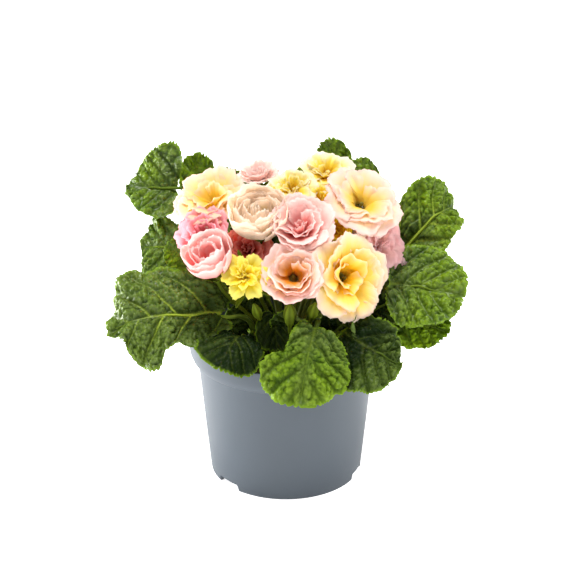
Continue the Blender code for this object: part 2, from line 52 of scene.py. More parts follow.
GAP = 0.3
POT_HEIGHT = 79.5
POT_FOOT_RADIUS = 41
POT_BODY_RADIUS = 47.4
POT_RIM_RADIUS = 52.5
POT_BAND_HEIGHT = 12.5
POT_BAND_DRAFT = 1
POT_SHOULDER_DROP = 3.4
POT_SHOULDER_IN = 1.6
POT_WALL = 1.2
POT_FLOOR_UNDERSIDE = 4.6
POT_FLOOR_TOP = 6
FOOT_CHAMFER = 0.9
FOOT_WIDTH = 2.2
NOTCH_HEIGHT = 3.8
NOTCH_HALF_WIDTHS = (7.9, 6.8)  # at the bottom and at the top
NOTCH_AZIMUTHS = (-49, 71, 191)  # degrees round from the front
DRAIN_HOLE_RADIUS = 4
DRAIN_HOLE_RING = 26
DRAIN_HOLES = 5
SOIL_EDGE_HEIGHT = 62.5
SOIL_CROWN_HEIGHT = 69
SOIL_MOUND = ((0, 0), (18, 0.8), (34, 3.5))  # (radius, drop below the crown) down the mound
STEM_HOLE_BOTTOM = 57
STEM_HANDLE = 0.35
STEM_LEAN = 0.25
LEAF_STALK_RADIUS = 1.5
OUTLINE_POWER = 2.35
STALK_NOTCH_DEPTH = 0.24
STALK_NOTCH_WIDTH = 0.26
BLADE_WAVES = 5
WHORL_STEP = 0.15
STALK_RADIUS = 1.1
CALYX_RADIUS = 2.4
CALYX_LENGTH = 8
SEPALS = 5
SEPAL_LENGTH = 7.5
SEPAL_ROOT_DEPTH = 4.8
PETAL_THICKNESS = 0.7

# ---- sizes of what only the scene shows

HUB_RADIUS = 2  # of the innermost ring of a disc
STAR_SEPALS = 2.05  # how much longer the sepals are under a star of petals
SEPAL_THICKNESS = 0.36
BLADE_THICKNESS = 0.5
EDGE_THICKNESS = 0.28
BLADE_SPACING = 0.62  # between points of a blade's grid
BLADE_CELLS = (34, 92)  # fewest and most along each side of the grid
TOOTH_WIDTH = 2.6
TOOTH_DEPTH = 1.1
PUCKER_SIZE = 2.8
PUCKER_DEPTH = 2.2
NET_SIZE = 1.5  # the net of the finest veins, in the shading only
PILLOW = 1.9  # how far a blade rises between two side veins
LATERALS = 5  # side veins on each side
VEIN_SLOPES = (0.5, 0.55, 0.25)  # g0, g1 and bend of the side veins
SWELL = 0.105  # height of a blade's slow unevenness, in shares of its half width
RIB_RADIUS = 1
PETAL_EDGE_THICKNESS = 0.22
PETAL_ROOT_THICKNESS = 0.5
PETAL_ROWS = (8, 14)  # fewest and most cells of a petal's grid, along it and across it
PETAL_COLUMNS = (18, 50)
CLAW = 0.05  # length of a petal's claw, in shares of the petal's
OPEN_THROAT = 1  # radius over which a bloom's throat shows as a hollow

# ---- leaves, blooms and buds

# tone and shade: -1 is darkest, painted shade for a leaf in the plant's shade, 0 deep green, 1 yellow-green; depth:
# of the puckers; veins: how pale they are
Leaf = namedtuple("Leaf", "foot base middle tip face half_width cup skew wave phase fresh depth veins")
# throat: its radius; gold: how far out the deep colour runs; blush: how pink the edges are
Bloom = namedtuple("Bloom", "form tint radius centre facing turn foot throat gold blush")
Whorl = namedtuple("Whorl", "petals length start end turn width ruffle curl point", defaults=(0,))

# name: stalk foot (azimuth in degrees, distance from the crown), blade's base, middle and tip, the way
# its upper face looks, half width, cup (radians that the sides bend up by), skew (above 0 is broader at
# the tip), wave height and phase, green tone with painted shade, depth, veins
LEAVES = {
    "left_front": ((203, 16), (-23, -17, 96), (-62, -28, 102), (-91, -34, 96), (-0.2, -0.68, 0.68),
        29, -0.3, 0.16, 0.09, 0.4, -0.05, 1.25, 1),
    "left_upper": ((124, 13), (-55, 44, 146), (-73, 46, 145), (-87, 50, 143), (0.24, -0.69, 0.69),
        21.3, 0.6, -0.65, 0.05, 1.2, 0.4, 0.9, 0.14),
    "left_middle": ((157, 16), (-49, 18, 119), (-68, 21, 120), (-78.5, 25, 118), (-0.15, -0.75, 0.6),
        17, -0.16, 0.17, 0.07, 2, 0.2, 0.9, 0.3),
    "left_young": ((190, 13), (-47, 6, 115), (-56, 5, 122), (-63, 3, 127), (-0.1, -0.85, 0.5),
        8, 0.35, 0.1, 0.06, 0, 0.9, 0.3, 0.3),
    "front_left": ((232, 16), (-22, -28, 90), (-26, -42, 94), (-34, -55, 84), (-0.15, -0.8, 0.58),
        16.5, -0.5, 0.4, 0.07, 0.9, -1, 0.5, 0.14),
    "front_inner": ((252, 11.5), (-3, -19, 99), (-5, -27, 98), (-5, -34, 87), (0.05, -0.85, 0.5),
        10, 0.2, 0.1, 0.05, 0.3, -0.9, 0.5, 0.2),
    "front": ((285, 16), (16, -37, 101), (11, -56, 92), (7, -66, 68), (0.02, -0.9, 0.42),
        23.5, -0.41, 0.15, 0.08, 1.6, 0.34, 1.15, 0.22),
    "right_front": ((305, 16), (32, -31, 91), (48, -44, 88), (60, -49, 83), (0.18, -0.58, 0.8),
        23.5, -0.3, -0.25, 0.07, 2.4, -0.45, 1, 0.12),
    "right_low": ((340, 16), (52, -8, 87), (70, -12, 90), (85, -16, 86), (0.22, -0.77, 0.6),
        13.5, -0.3, -0.05, 0.07, 0.8, 1.15, 0.9, 0.4),
    "right": ((355, 11.5), (51, 0, 107), (70, -4, 108), (93, -10, 104), (0.05, -0.62, 0.78),
        24.5, -0.1, 0, 0.07, 0.2, 0.42, 1.3, 0.3),
    "right_upper": ((22, 11.5), (58, 30, 107), (79.3, 32, 133), (92.3, 39, 135), (-0.08, -0.65, 0.76),
        20.5, 0.5, 0.2, 0.06, 1, 0.4, 1.2, 0.95),
    "back_right_tall": ((39, 13), (35, 46, 135), (44, 51, 147), (50, 53, 152.5), (-0.15, -0.85, 0.5),
        12, 0.28, 0.15, 0.05, 0.6, 0.4, 0.5, 0.5),
    "back_tall": ((76, 13.5), (31, 58, 142), (28, 63, 153), (21, 66, 165), (0.05, -0.85, 0.5),
        9, 0.25, 0, 0.05, 1.9, 0.6, 0.5, 0.5),
    "back_left_inner": ((94, 12.5), (-23, 42, 118), (-28, 54, 135), (-27, 62, 149), (0.1, -0.85, 0.5),
        14, 0.25, 0.1, 0.05, 2.6, 0, 0.6, 0.5),
    "back_left_tall": ((109, 13), (-42, 58, 127), (-47, 64, 139), (-51, 66, 157), (0.15, -0.9, 0.4),
        11.5, 0.3, 0, 0.05, 0.2, 1, 0.6, 0.5),
    "back_left": ((145, 17), (-38, 29, 92), (-60, 41, 98), (-79, 51, 90), (-0.25, 0.2, 0.95),
        18, -0.35, 0.05, 0.06, 0.7, 0.3, 0.9, 0.5),
    "back_a": ((115, 17), (-13, 34, 84), (-24, 53, 89), (-33, 67, 81), (-0.1, 0.3, 0.95),
        18, -0.35, 0.05, 0.06, 1.4, 0.25, 0.9, 0.5),
    "back_b": ((85, 17), (4, 36, 95), (8, 54, 101), (11, 68, 93), (0.1, 0.3, 0.95),
        18, -0.35, 0.05, 0.06, 2.2, 0.3, 0.9, 0.5),
    "back_c": ((60, 17), (27, 33, 84), (42, 49, 89), (54, 62, 81), (0.2, 0.25, 0.95),
        18, -0.35, 0.05, 0.06, 0.1, 0.2, 0.9, 0.5),
    "back_mid_left": ((130, 15.5), (-27, 33, 104), (-41, 46, 111), (-55, 58, 106), (-0.2, 0.35, 0.9),
        14, -0.35, 0.05, 0.06, 2.9, 0.45, 0.7, 0.5),
    "back_mid": ((100, 17), (-6, 38, 106), (-9, 53, 112), (-12, 68, 105), (-0.05, 0.4, 0.9),
        13.5, -0.35, 0.05, 0.06, 0.9, 0.55, 0.7, 0.5),
    "back_mid_right": ((48, 16), (26, 34, 104), (38, 48, 111), (50, 60, 104), (0.2, 0.35, 0.9),
        14, -0.35, 0.05, 0.06, 1.3, 0.5, 0.7, 0.5),
    "back_right": ((25, 17), (44, 18, 92), (66, 27, 99), (86, 36, 91), (0.25, 0.1, 0.95),
        17.5, -0.35, 0.05, 0.06, 1.7, 0.3, 0.9, 0.5),
}

# Small leaves that fill the crown between the others, dark with painted shade: foot to phase, with one look for all
CROWN_LOOK = (-0.8, 0.7, 0.2)
CROWN_LEAVES = (
    ((215, 9), (-12, -6, 80), (-20, -8, 92), (-26, -10, 101), (-0.1, -0.75, 0.6), 14, 0.3, 0.1, 0.08, 0.4),
    ((262, 8), (2, -22, 86), (3, -30, 98), (4, -35, 104), (0.05, -0.85, 0.45), 11, 0.35, 0.1, 0.08, 1.4),
    ((318, 9), (22, -20, 84), (30, -26, 96), (36, -29, 100), (0.15, -0.8, 0.55), 13, 0.25, 0.1, 0.08, 2.4),
    ((170, 9), (-30, 4, 90), (-36, 4, 108), (-39, 6, 118), (-0.1, -0.9, 0.35), 12, 0.25, 0.05, 0.07, 0.9),
    ((120, 8), (-14, 16, 100), (-16, 19, 122), (-16, 22, 138), (0, -0.9, 0.3), 14, 0.2, 0.05, 0.07, 1.9),
    ((70, 8), (9, 14, 98), (10, 18, 120), (10, 22, 136), (0.05, -0.9, 0.3), 14, 0.2, 0.05, 0.07, 2.7),
    ((30, 9), (30, 12, 100), (33, 18, 122), (35, 24, 138), (0.1, -0.9, 0.35), 13, 0.2, 0.05, 0.07, 0.2),
    ((345, 9), (38, -4, 88), (52, -6, 98), (62, -8, 100), (0.2, -0.75, 0.6), 14, 0.25, 0.05, 0.07, 1.2),
)

# How far some leaves' edges depart from the plain outline, at degrees round from the tip
OUTLINES = {
    "left_front": {0: 1.05, 8: 1.05, 14: 0.9, 22: 0.84, 45: 0.93, 72: 0.97, 79: 0.9, 85: 0.7, 98: 0.58,
        112: 0.66, 140: 0.79, 155: 0.92, 168: 1, 240: 1, 265: 1.07, 300: 0.99, 318: 0.86, 335: 0.88, 350: 1.03},
    "left_upper": {60: 0.97, 90: 0.92, 130: 0.93, 180: 1},
    "left_middle": {0: 0.98, 45: 0.9, 90: 1},
    "front": {30: 0.97, 40: 0.91, 50: 0.97, 150: 1, 180: 1.12, 200: 1, 215: 0.76, 235: 0.58, 262: 0.52,
        278: 0.8, 288: 1},
    "front_inner": {0: 1.2, 60: 1.15, 100: 0.85, 140: 0.5, 180: 0.4, 220: 0.5, 260: 0.85, 300: 1.15},
    "right_front": {0: 0.86, 30: 0.7, 60: 0.6, 90: 0.66, 120: 0.85, 150: 1.1, 180: 1.5, 210: 1.25, 270: 1.12,
        300: 1.08, 318: 0.93, 330: 0.98, 345: 0.9},
    "right_upper": {0: 0.88, 20: 0.94, 90: 1, 180: 1, 205: 1.15, 228: 1.4, 250: 1.15, 270: 0.95, 285: 0.92,
        300: 0.84, 318: 0.82, 335: 0.86, 350: 0.9},
}

# How glossy some leaves are, where the others are 1
GLOSS = {"front": 0.2, "right_low": 0.2, "right_upper": 0.6, "right_front": 0.6}

# Whorls of petals, outermost first: petals, length in shares of the bloom's radius, angle from the axis
# at the root and at the tip in degrees, turn in degrees, width (1 just meets the next petal), ruffle,
# curl of the edge in degrees, how pointed the petals are.  A tulip is a globe that opens at its top.
FORMS = {
    "open": ((5, 1.12, 36, 98, 0, 1.9, 0.05, 12), (5, 0.98, 30, 80, 34, 1.85, 0.06, 12),
        (4, 0.74, 24, 58, 16, 1.85, 0.06, 10), (3, 0.5, 16, 26, 5, 1.75, 0.06, 10)),
    "bowl": ((5, 1.14, 40, 92, 0, 1.85, 0.045, 10), (5, 0.92, 34, 74, 36, 1.8, 0.05, 8),
        (3, 0.64, 26, 50, 10, 1.8, 0.06, 10)),
    "cup": ((5, 1.3, 62, 50, 0, 1.95, 0.045, 22), (4, 1.16, 52, 34, 40, 1.95, 0.055, 20),
        (4, 0.94, 42, 22, 10, 1.85, 0.06, 18), (3, 0.68, 26, 8, 60, 1.8, 0.06, 12)),
    "globe": ((5, 1.62, 84, -6, 0, 2, 0.025, 16), (4, 1.5, 74, -8, 40, 2.1, 0.03, 16),
        (3, 1.34, 60, -10, 15, 2.1, 0.04, 14), (3, 1.12, 42, -10, 75, 1.9, 0.05, 8)),
    "tulip": ((4, 1.62, 84, 0, 0, 1.9, 0.03, 24), (3, 1.52, 70, -4, 40, 2, 0.035, 22),
        (3, 1.22, 46, -6, 15, 1.9, 0.04, 14)),
    "rosette": ((6, 1.14, 44, 88, 0, 1.65, 0.06, 12), (5, 0.94, 34, 66, 30, 1.65, 0.07, 12),
        (5, 0.74, 22, 44, 10, 1.6, 0.07, 10), (3, 0.5, 12, 22, 50, 1.6, 0.07, 6)),
    "star": ((6, 1.18, 50, 86, 0, 1.35, 0.06, 14, 1), (6, 0.98, 36, 66, 30, 1.35, 0.07, 12, 1),
        (5, 0.78, 22, 44, 10, 1.4, 0.08, 10, 0.8), (4, 0.56, 8, 24, 50, 1.45, 0.08, 6, 0.4)),
}
# How far below a bloom's centre its petals join, in shares of its radius
ROOT_DEPTH = {"open": 0.52, "bowl": 0.52, "cup": 0.62, "globe": 0.75, "tulip": 0.75, "rosette": 0.5, "star": 0.5}

# name: form, tint, radius, centre of the bloom, the way it faces, turn about that axis in degrees,
# foot of the stalk, throat, gold, blush
BLOOMS = {
    "cream_left": ("bowl", "cream", 19.5, (-39.5, 16, 151.4), (-0.22, -0.42, 0.88), 10, (165, 6.5), 0.6, 0.22, 0.35),
    "cream_centre": ("globe", "cream", 16.4, (-14.5, -5, 147.5), (-0.06, -0.5, 0.86), 30, (230, 2.2), 0, -0.32, 0.12),
    "pink_left_upper": ("cup", "pink", 13.2, (-42.5, -3, 138), (-0.3, -0.58, 0.75), 4, (203, 8.8), 0, 0.3, 1),
    "pink_left": ("tulip", "pink", 13.5, (-39, -25, 132), (-0.22, -0.42, 0.88), 55, (218, 8.3), 0, 0.06, 0.2),
    "pink_back": ("cup", "pink", 9.9, (-15, 40, 155), (-0.05, -0.15, 0.98), 15, (118, 7.5), 0, -0.9, 0),
    "yellow_top": ("rosette", "pale_yellow", 13.5, (3.5, 24, 152.5), (0, -0.45, 0.89), 0, (85, 4), 0, 0.08, 0),
    "yellow_back": ("open", "pale_yellow", 15.5, (22, 38, 157), (0.1, -0.5, 0.86), 25, (78, 7), 0, 0.05, 0),
    "cream_right": ("open", "cream", 19.2, (41, 9, 152), (0.26, -0.5, 0.83), 40, (5, 6.5), 2.2, 0.06, 0.45),
    "pink_centre": ("cup", "pink", 15.6, (8, -13, 145.8), (0.05, -0.6, 0.8), 20, (300, 2.6), 0, -0.02, 0.1),
    "yellow_small": ("star", "yellow", 12, (-21, -34, 126.5), (-0.15, -0.8, 0.58), 5, (236, 6.5), 0, 0, 0),
    "salmon": ("cup", "salmon", 13.2, (4, -33, 127), (0.02, -0.75, 0.66), 35, (275, 6.5), 1.8, 0, 0.3),
    "yellow_right": ("bowl", "pale_yellow", 20.5, (33, -24, 121), (0.54, -0.74, 0.38), 0, (325, 7.5),
        2.6, 0.16, 0.35),
    "pink_right": ("open", "pink", 17.5, (50.5, 7, 125.5), (0.45, -0.68, 0.58), 30, (20, 8.5), 0, -0.35, 0.6),
    "red_inner": ("cup", "red", 11.5, (-20, 3, 126), (-0.1, -0.85, 0.52), 15, (180, 4.2), 0, 0, 0),
}
# Half-open blooms between the others
SMALL_BLOOMS = {
    "half_open_a": ("cup", "yellow", 6.5, (27, 2, 137), (0.1, -0.8, 0.6), 0, (350, 4.5), 0, 0.35, 0),
    "half_open_c": ("cup", "pale_yellow", 8.5, (20, 21, 147), (0.1, -0.6, 0.8), 40, (60, 4.5), 0, 0.3, 0),
    "half_open_b": ("cup", "salmon", 8, (18, -22, 131), (0.1, -0.8, 0.6), 70, (310, 5), 0, 0.25, 0),
}
# Green buds: middle of the bud, the way it points, foot of the stalk, radius, length
BUDS = {
    "bud_a": ((2, -35, 105), (0, -0.3, 0.95), (280, 4.5), 3.3, 14.5),
    "bud_b": ((-15, -30, 105), (-0.25, -0.35, 0.9), (250, 5), 2.4, 11),
    "bud_c": ((7, 34, 155), (0.05, -0.1, 1), (95, 5.5), 2.8, 11),
    "bud_d": ((14, -32, 106), (0.2, -0.3, 0.92), (300, 5.5), 2.9, 12),
}

# tint: colour deep in the bloom, half way, and at the edge (linear)
PETAL_COLOURS = {
    "cream": ((1, 0.8, 0.1), (1, 0.88, 0.46), (1, 0.92, 0.79)),
    "pink": ((0.97, 0.3, 0.28), (1, 0.61, 0.57), (1, 0.84, 0.79)),
    "pale_yellow": ((1, 0.7, 0.01), (1, 0.88, 0.17), (1, 0.94, 0.78)),
    "yellow": ((1, 0.66, 0), (1, 0.84, 0.03), (1, 0.93, 0.26)),
    "salmon": ((0.98, 0.48, 0.01), (1, 0.76, 0.4), (1, 0.86, 0.77)),
    "red": ((0.58, 0.06, 0.04), (0.82, 0.19, 0.14), (0.94, 0.4, 0.33)),
}
BLUSH = (0.97, 0.52, 0.62)
# The olive of a bloom's centre; the share that darkens a closed bloom's petal roots is painted shade.
THROAT = (0.13, 0.105, 0.006)

# ---- stage

CAMERA_PLACE = (0, -0.7696, 0.4381)
CAMERA_PITCH = 0.4075  # radians down from the level
SURROUND_STRENGTH = 0.38
FLOOR_REACH = 6000
FLOOR_GLOW = 0.85
LIGHTS_AIM = (0, 0, 0.09)
# Name, place in metres, power, and a rectangle's two sides in metres or a sun's width in degrees
LIGHTS = (
    ("above", (-0.08, 0, 1), 4.3, 24),
    ("front", (-0.3, -1, 0.85), 3.35, 0.6, 0.4),
    ("left", (-0.7, 0.16, 0.06), 10.2, 0.4, 0.1),
    ("right", (0.85, 0.1, 0.3), 4.8, 0.4, 0.4),
)


# ---- arrays and surfaces


def unit(vector):
    """The vector at length 1; an array of vectors along its last axis."""
    vector = np.asarray(vector, float)
    return vector / np.maximum(np.linalg.norm(vector, axis=-1, keepdims=True), 1e-12)


def smooth(low, high, value):
    """0 below low and 1 above high, with an S-shaped ramp between."""
    share = np.clip((value - low) / (high - low), 0, 1)
    return share * share * (3 - 2 * share)


def hump(value, width):
    """1 where the value is 0, falling off on both sides: exp(-(value / width)^2)."""
    return np.exp(-((value / width) ** 2))


def round_angles(count):
    """Even angles once round."""
    return np.linspace(0, TURN, count, endpoint=False)


def around(azimuth, side, other):
    """Unit vectors at angles from side towards other."""
    azimuth = np.asarray(azimuth)[..., None]
    return np.cos(azimuth) * side + np.sin(azimuth) * other


def scatter(x, y, seed):
    """A repeatable random number from 0 to 1 for each pair of whole numbers."""
    return np.modf(np.abs(np.sin(x * 127.1 + y * 311.7 + seed * 74.7) * 43758.5453))[0]


def ripple(x, y, seed):
    """Smooth noise from -1 to 1: random numbers at whole x and y, blended between."""
    left, low = np.floor(x), np.floor(y)
    u, v = smooth(0, 1, x - left), smooth(0, 1, y - low)
    lower = scatter(left, low, seed) * (1 - u) + scatter(left + 1, low, seed) * u
    upper = scatter(left, low + 1, seed) * (1 - u) + scatter(left + 1, low + 1, seed) * u
    return 2 * (lower * (1 - v) + upper * v) - 1


def pebbles(x, y, seed):
    """Cells about one random point per unit square: the distance to the nearest point, and how much
    farther the second nearest is, which is 0 on the line between two cells."""
    first = np.full(np.shape(x), 9)
    second = first.copy()
    for step_x in (-1, 0, 1):
        for step_y in (-1, 0, 1):
            cell_x, cell_y = np.floor(x) + step_x, np.floor(y) + step_y
            away = np.hypot(cell_x + 0.1 + 0.8 * scatter(cell_x, cell_y, seed) - x,
                            cell_y + 0.1 + 0.8 * scatter(cell_x, cell_y, seed + 1) - y)
            second = np.minimum(second, np.maximum(first, away))
            first = np.minimum(first, away)
    return first, second - first


def quads(rows, columns, wrap=False):
    """Corner indices of the cells of a grid of points, whose last column meets its first with wrap."""
    number = np.arange(rows * columns).reshape(rows, columns)
    if wrap:
        number = np.hstack([number, number[:, :1]])
    return np.stack([number[:-1, :-1], number[1:, :-1], number[1:, 1:], number[:-1, 1:]], -1).reshape(-1, 4)


def outward(points, faces):
    """The faces of a closed surface turned to look outward: all of them the other way round if the
    sum of the corners' triple products, six times the volume, is negative."""
    a, b, c, d = (points[faces[:, corner]] for corner in range(4))
    volume = (a * (np.cross(b, c) + np.cross(c, d))).sum()
    return faces[:, [1, 0, 3, 2]] if volume < 0 else faces


def sheet(top, bottom, **attributes):
    """A closed shell as points, four-cornered faces and attributes: two grids of points, joined round
    their edges.  An attribute is one value a point of a grid; "under" is 0 on top and 1 below."""
    rows, columns = top.shape[:2]
    count = rows * columns
    cells = quads(rows, columns)
    number = np.arange(count).reshape(rows, columns)
    rim = np.concatenate([number[:-1, 0], number[-1, :-1], number[:0:-1, -1], number[0, :0:-1]])
    after = np.roll(rim, -1)
    wall = np.stack([after, rim, rim + count, after + count], -1)
    points = np.concatenate([top.reshape(-1, 3), bottom.reshape(-1, 3)])
    faces = np.concatenate([cells, cells[:, ::-1] + count, wall])
    made = {name: np.tile(np.broadcast_to(value, (rows, columns)).ravel(), 2) for name, value in attributes.items()}
    made["under"] = np.repeat([0, 1], count)
    return points, outward(points, faces), made


def rings(body, first, last, **attributes):
    """A closed surface: a grid of points whose rows are rings, and a middle point for the cap at either
    end.  An attribute is one value a point of the grid; a middle takes its ring's."""
    rows, columns = body.shape[:2]
    around = np.arange(columns)
    after = (around + 1) % columns
    end, middle = (rows - 1) * columns, np.full(columns, rows * columns)
    caps = [np.stack([around, after, middle, middle], -1),
            np.stack([after + end, around + end, middle + 1, middle + 1], -1)]
    points = np.vstack([body.reshape(-1, 3), [first, last]])
    made = {}
    for name, value in attributes.items():
        grid = np.broadcast_to(value, (rows, columns))
        made[name] = np.concatenate([grid.ravel(), grid[:1, 0], grid[-1:, 0]])
    return points, outward(points, np.concatenate([quads(rows, columns, wrap=True), *caps])), made


def tube(path, radii, sides, flute=0, **attributes):
    """A closed stem: rings of points about a path, each square to it.  Its radius is
    r (1 + flute cos(5 turn)), and "ridge" is 1 on its ribs.  An attribute is one value a ring."""
    path = np.asarray(path, float)
    ahead = unit(np.gradient(path, axis=0))
    across = unit(np.cross(path[-1] - path[0], (0.3, 0.2, 1)))
    up = unit(np.cross(across, ahead))
    side = np.cross(ahead, up)
    turn = round_angles(sides)
    swell = np.broadcast_to(radii, (len(path),))[:, None] * (1 + flute * np.cos(5 * turn))
    ring = around(turn, side[:, None], up[:, None])
    values = {name: np.broadcast_to(value, (len(path),))[:, None] for name, value in attributes.items()}
    if flute:
        values["ridge"] = 0.5 + 0.5 * np.cos(5 * turn)
    return rings(path[:, None] + ring * swell[..., None], path[0], path[-1], **values)


def turned(outline, azimuths):
    """A closed surface about the upright axis: outline holds the radius and height of each ring at
    each azimuth, from the middle of the top round the outside to the middle of the underside."""
    radius, height = outline[..., 0], outline[..., 1]
    body = np.stack([radius * np.sin(azimuths), -radius * np.cos(azimuths), height], -1)
    return rings(body, (0, 0, height[0, 0]), (0, 0, height[-1, 0]))


def joined(parts):
    """Several surfaces as one; an attribute that a part lacks is 0 there."""
    names = sorted({name for part in parts for name in part[2]})
    starts = np.cumsum([0] + [len(part[0]) for part in parts])
    faces = np.concatenate([part[1] + start for part, start in zip(parts, starts)])
    made = {name: np.concatenate([part[2].get(name, np.zeros(len(part[0]))) for part in parts]) for name in names}
    return np.concatenate([part[0] for part in parts]), faces, made


def new_object(name, points, faces):
    """An object in the scene with a mesh of these points and faces, of which one whose last two corners
    are the same has three."""
    mesh = bpy.data.meshes.new(name)
    corners = [face[:3] if face[2] == face[3] else face for face in faces.tolist()]
    mesh.from_pydata((points * MM).tolist(), [], corners)
    made = bpy.data.objects.new(name, mesh)
    bpy.context.scene.collection.objects.link(made)
    return made


def add_piece(name, surface, material, node=None):
    """Makes a surface into a piece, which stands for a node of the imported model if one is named."""
    points, faces, attributes = surface
    piece = new_object(name, points, faces)
    for key, values in attributes.items():
        kept = piece.data.attributes.new(key, "FLOAT", "POINT")
        kept.data.foreach_set("value", values.astype(np.float32))
    piece.data.shade_smooth()
    piece.data.materials.append(material)
    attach(piece, "root")
    if node:
        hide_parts(node)
    return piece


# ---- shader graphs


class Socket:
    """A node's output that takes Python's arithmetic: each operation on it adds a Math node."""

    def __init__(self, graph, socket):
        self.graph, self.socket = graph, socket

    def math(self, operation, other=0, **settings):
        return self.graph.add("Math", (self, other), operation=operation, **settings)

    def __rsub__(self, other):
        return self.graph.add("Math", (other, self), operation="SUBTRACT")

    __add__ = __radd__ = partialmethod(math, "ADD")
    __sub__ = partialmethod(math, "SUBTRACT")
    __mul__ = __rmul__ = partialmethod(math, "MULTIPLY")
    __pow__ = partialmethod(math, "POWER")
    clamped = partialmethod(math, "ADD", use_clamp=True)


class Graph:
    """A material's node tree, with its Principled shader."""

    def __init__(self, name):
        self.material = bpy.data.materials.new(name)
        self.material.use_nodes = True
        self.tree = self.material.node_tree
        self.shader = self.tree.nodes["Principled BSDF"]

    def put(self, target, value):
        """Links an input to a Socket, or sets it; a colour gets its fourth number."""
        if isinstance(value, Socket):
            self.tree.links.new(value.socket, target)
        elif isinstance(value, tuple) and len(value) == 3 and len(target.default_value) == 4:
            target.default_value = (*value, 1)
        else:
            target.default_value = value

    def add(self, kind, values=(), output=0, **settings):
        """A node of a kind with its settings and its inputs' values or links, as one of its outputs."""
        node = self.tree.nodes.new("ShaderNode" + kind)
        for key, value in settings.items():
            setattr(node, key, value)
        for key, value in (values.items() if isinstance(values, dict) else enumerate(values)):
            self.put(node.inputs[key], value)
        return Socket(self, node.outputs[output])

    def attributes(self, names):
        return [self.add("Attribute", output="Fac", attribute_name=name) for name in names.split()]

    def noise(self, size, detail, stretch=None):
        """Fractal noise whose lumps are size millimetres across."""
        where = self.add("TexCoord", output="Object")
        if stretch:
            where = self.add("Mapping", {"Vector": where, "Scale": stretch})
        return self.add("TexNoise", {"Vector": where, "Scale": 1 / (size * MM), "Detail": detail})

    def mix(self, share, first, second):
        """A colour between two colours; the node keeps the share between 0 and 1."""
        return self.add("Mix", {0: share, 6: first, 7: second}, output=2, data_type="RGBA")

    def ramp(self, value, *stops):
        """A colour for a value, blended between three stops of (value, colour)."""
        made = self.add("ValToRGB", (value,))
        elements = made.socket.node.color_ramp.elements
        elements.new(stops[2][0])
        for element, (place, shade) in zip(elements, stops):
            element.position, element.color = place, (*shade, 1)
        return made

    def bump(self, height, depth):
        """A Normal from a height of 0 to 1 that stands for depth millimetres."""
        return self.add("Bump", {"Height": height, "Distance": depth * MM})

    def set(self, **values):
        for key, value in values.items():
            self.put(self.shader.inputs[key.replace("_", " ")], value)

    def let_through(self, colour, share):
        """Mixes in light that comes through from behind."""
        behind = self.add("BsdfTranslucent", {"Color": colour})
        mixed = self.add("MixShader", (share, Socket(self, self.shader.outputs[0]), behind))
        self.put(self.tree.nodes["Material Output"].inputs["Surface"], mixed)


def pot_plastic():
    """Matte grey-blue moulded plastic with a faint grain and cloudy wear."""
    g = Graph("pot_plastic")
    cloud = g.noise(30, 4).clamped()
    colour = g.mix(cloud, (0.052, 0.065, 0.079), (0.066, 0.08, 0.098))
    g.set(Base_Color=colour, Roughness=0.42 + 0.14 * cloud, Normal=g.bump(g.noise(0.6, 2), 0.03),
          Specular_IOR_Level=0.32)
    return g.material


def potting_soil():
    """Moist dark peat: near black with brown fibres and rough crumbs."""
    g = Graph("potting_soil")
    crumb = g.noise(1.6, 5)
    fibre = g.noise(3, 3, stretch=(1, 4, 1))
    tint = g.ramp(fibre, (0.35, (0.012, 0.008, 0.005)), (0.62, (0.035, 0.022, 0.012)), (0.8, (0.11, 0.07, 0.035)))
    g.set(Base_Color=tint, Roughness=0.92, Normal=g.bump(crumb, 0.9))
    return g.material


def leaf_green():
    """A primrose leaf: deep glossy green puckers in a net of fine veins, pale yellow-green ribs and margin,
    greyer below, with painted shade in the furrows, in the net's hollows and where the plant shades the
    leaf, and a painted highlight on the pucker tops."""
    g = Graph("leaf")
    vein, margin, fresh, pucker, under, along, across, gloss = g.attributes(
        "vein margin fresh pucker under along across gloss")
    net = g.add("TexVoronoi", {"Vector": g.add("CombineXYZ", (along, across, 0)), "Scale": 1 / NET_SIZE,
                               "Randomness": 0.9}, feature="F1", voronoi_dimensions="2D")
    dome = (1 - 1.6 * net * net).clamped()
    patch = (2.4 * g.noise(13, 3) - 0.7).clamped()
    fine = g.noise(1.1, 4)
    deep = g.mix(patch, (0.016, 0.046, 0.003), (0.12, 0.19, 0.022))
    lively = g.mix(patch, (0.056, 0.14, 0.001), (0.205, 0.33, 0.003))
    # The colour of the painted highlight on the pucker tops.
    pucker_highlight = g.mix(fresh, (0.175, 0.24, 0.046), (0.235, 0.365, 0.008))
    colour = g.mix(fresh, deep, lively)
    for share, over in (
        # Painted shade in the furrows, a painted highlight on the pucker tops, painted shade in the hollows of the
        # finest net and where the plant shades the leaf; then the margin, veins and underside in their own colours.
        ((1 - pucker) * 0.46, (0.016, 0.044, 0.003)),  # in the furrows
        (pucker * 0.56 * (0.4 + 0.6 * dome), pucker_highlight),
        ((1 - dome) * 0.28, (0.02, 0.044, 0.003)),  # in the finest net
        (0 - fresh * 1.02, (0.005, 0.013, 0.002)),  # in the plant's shade
        (margin * 0.65, (0.19, 0.32, 0.012)),
        (vein * 0.85, (0.37, 0.49, 0.05)),
        (under, g.mix(vein * 0.8, (0.14, 0.21, 0.05), (0.33, 0.43, 0.11))),
    ):
        colour = g.mix(share, colour, over)
    gloss = (1 + 1.3 * fresh).clamped() * (1 - under) * gloss
    g.set(Base_Color=colour, Roughness=(0.32 + 0.3 * under + 0.1 * fine).clamped(),
          Normal=g.bump(dome + 0.2 * fine, 0.45), Specular_IOR_Level=0.05, Coat_Weight=0.34 * gloss,
          Coat_Roughness=0.28)
    g.let_through(colour, 0.12)
    return g.material


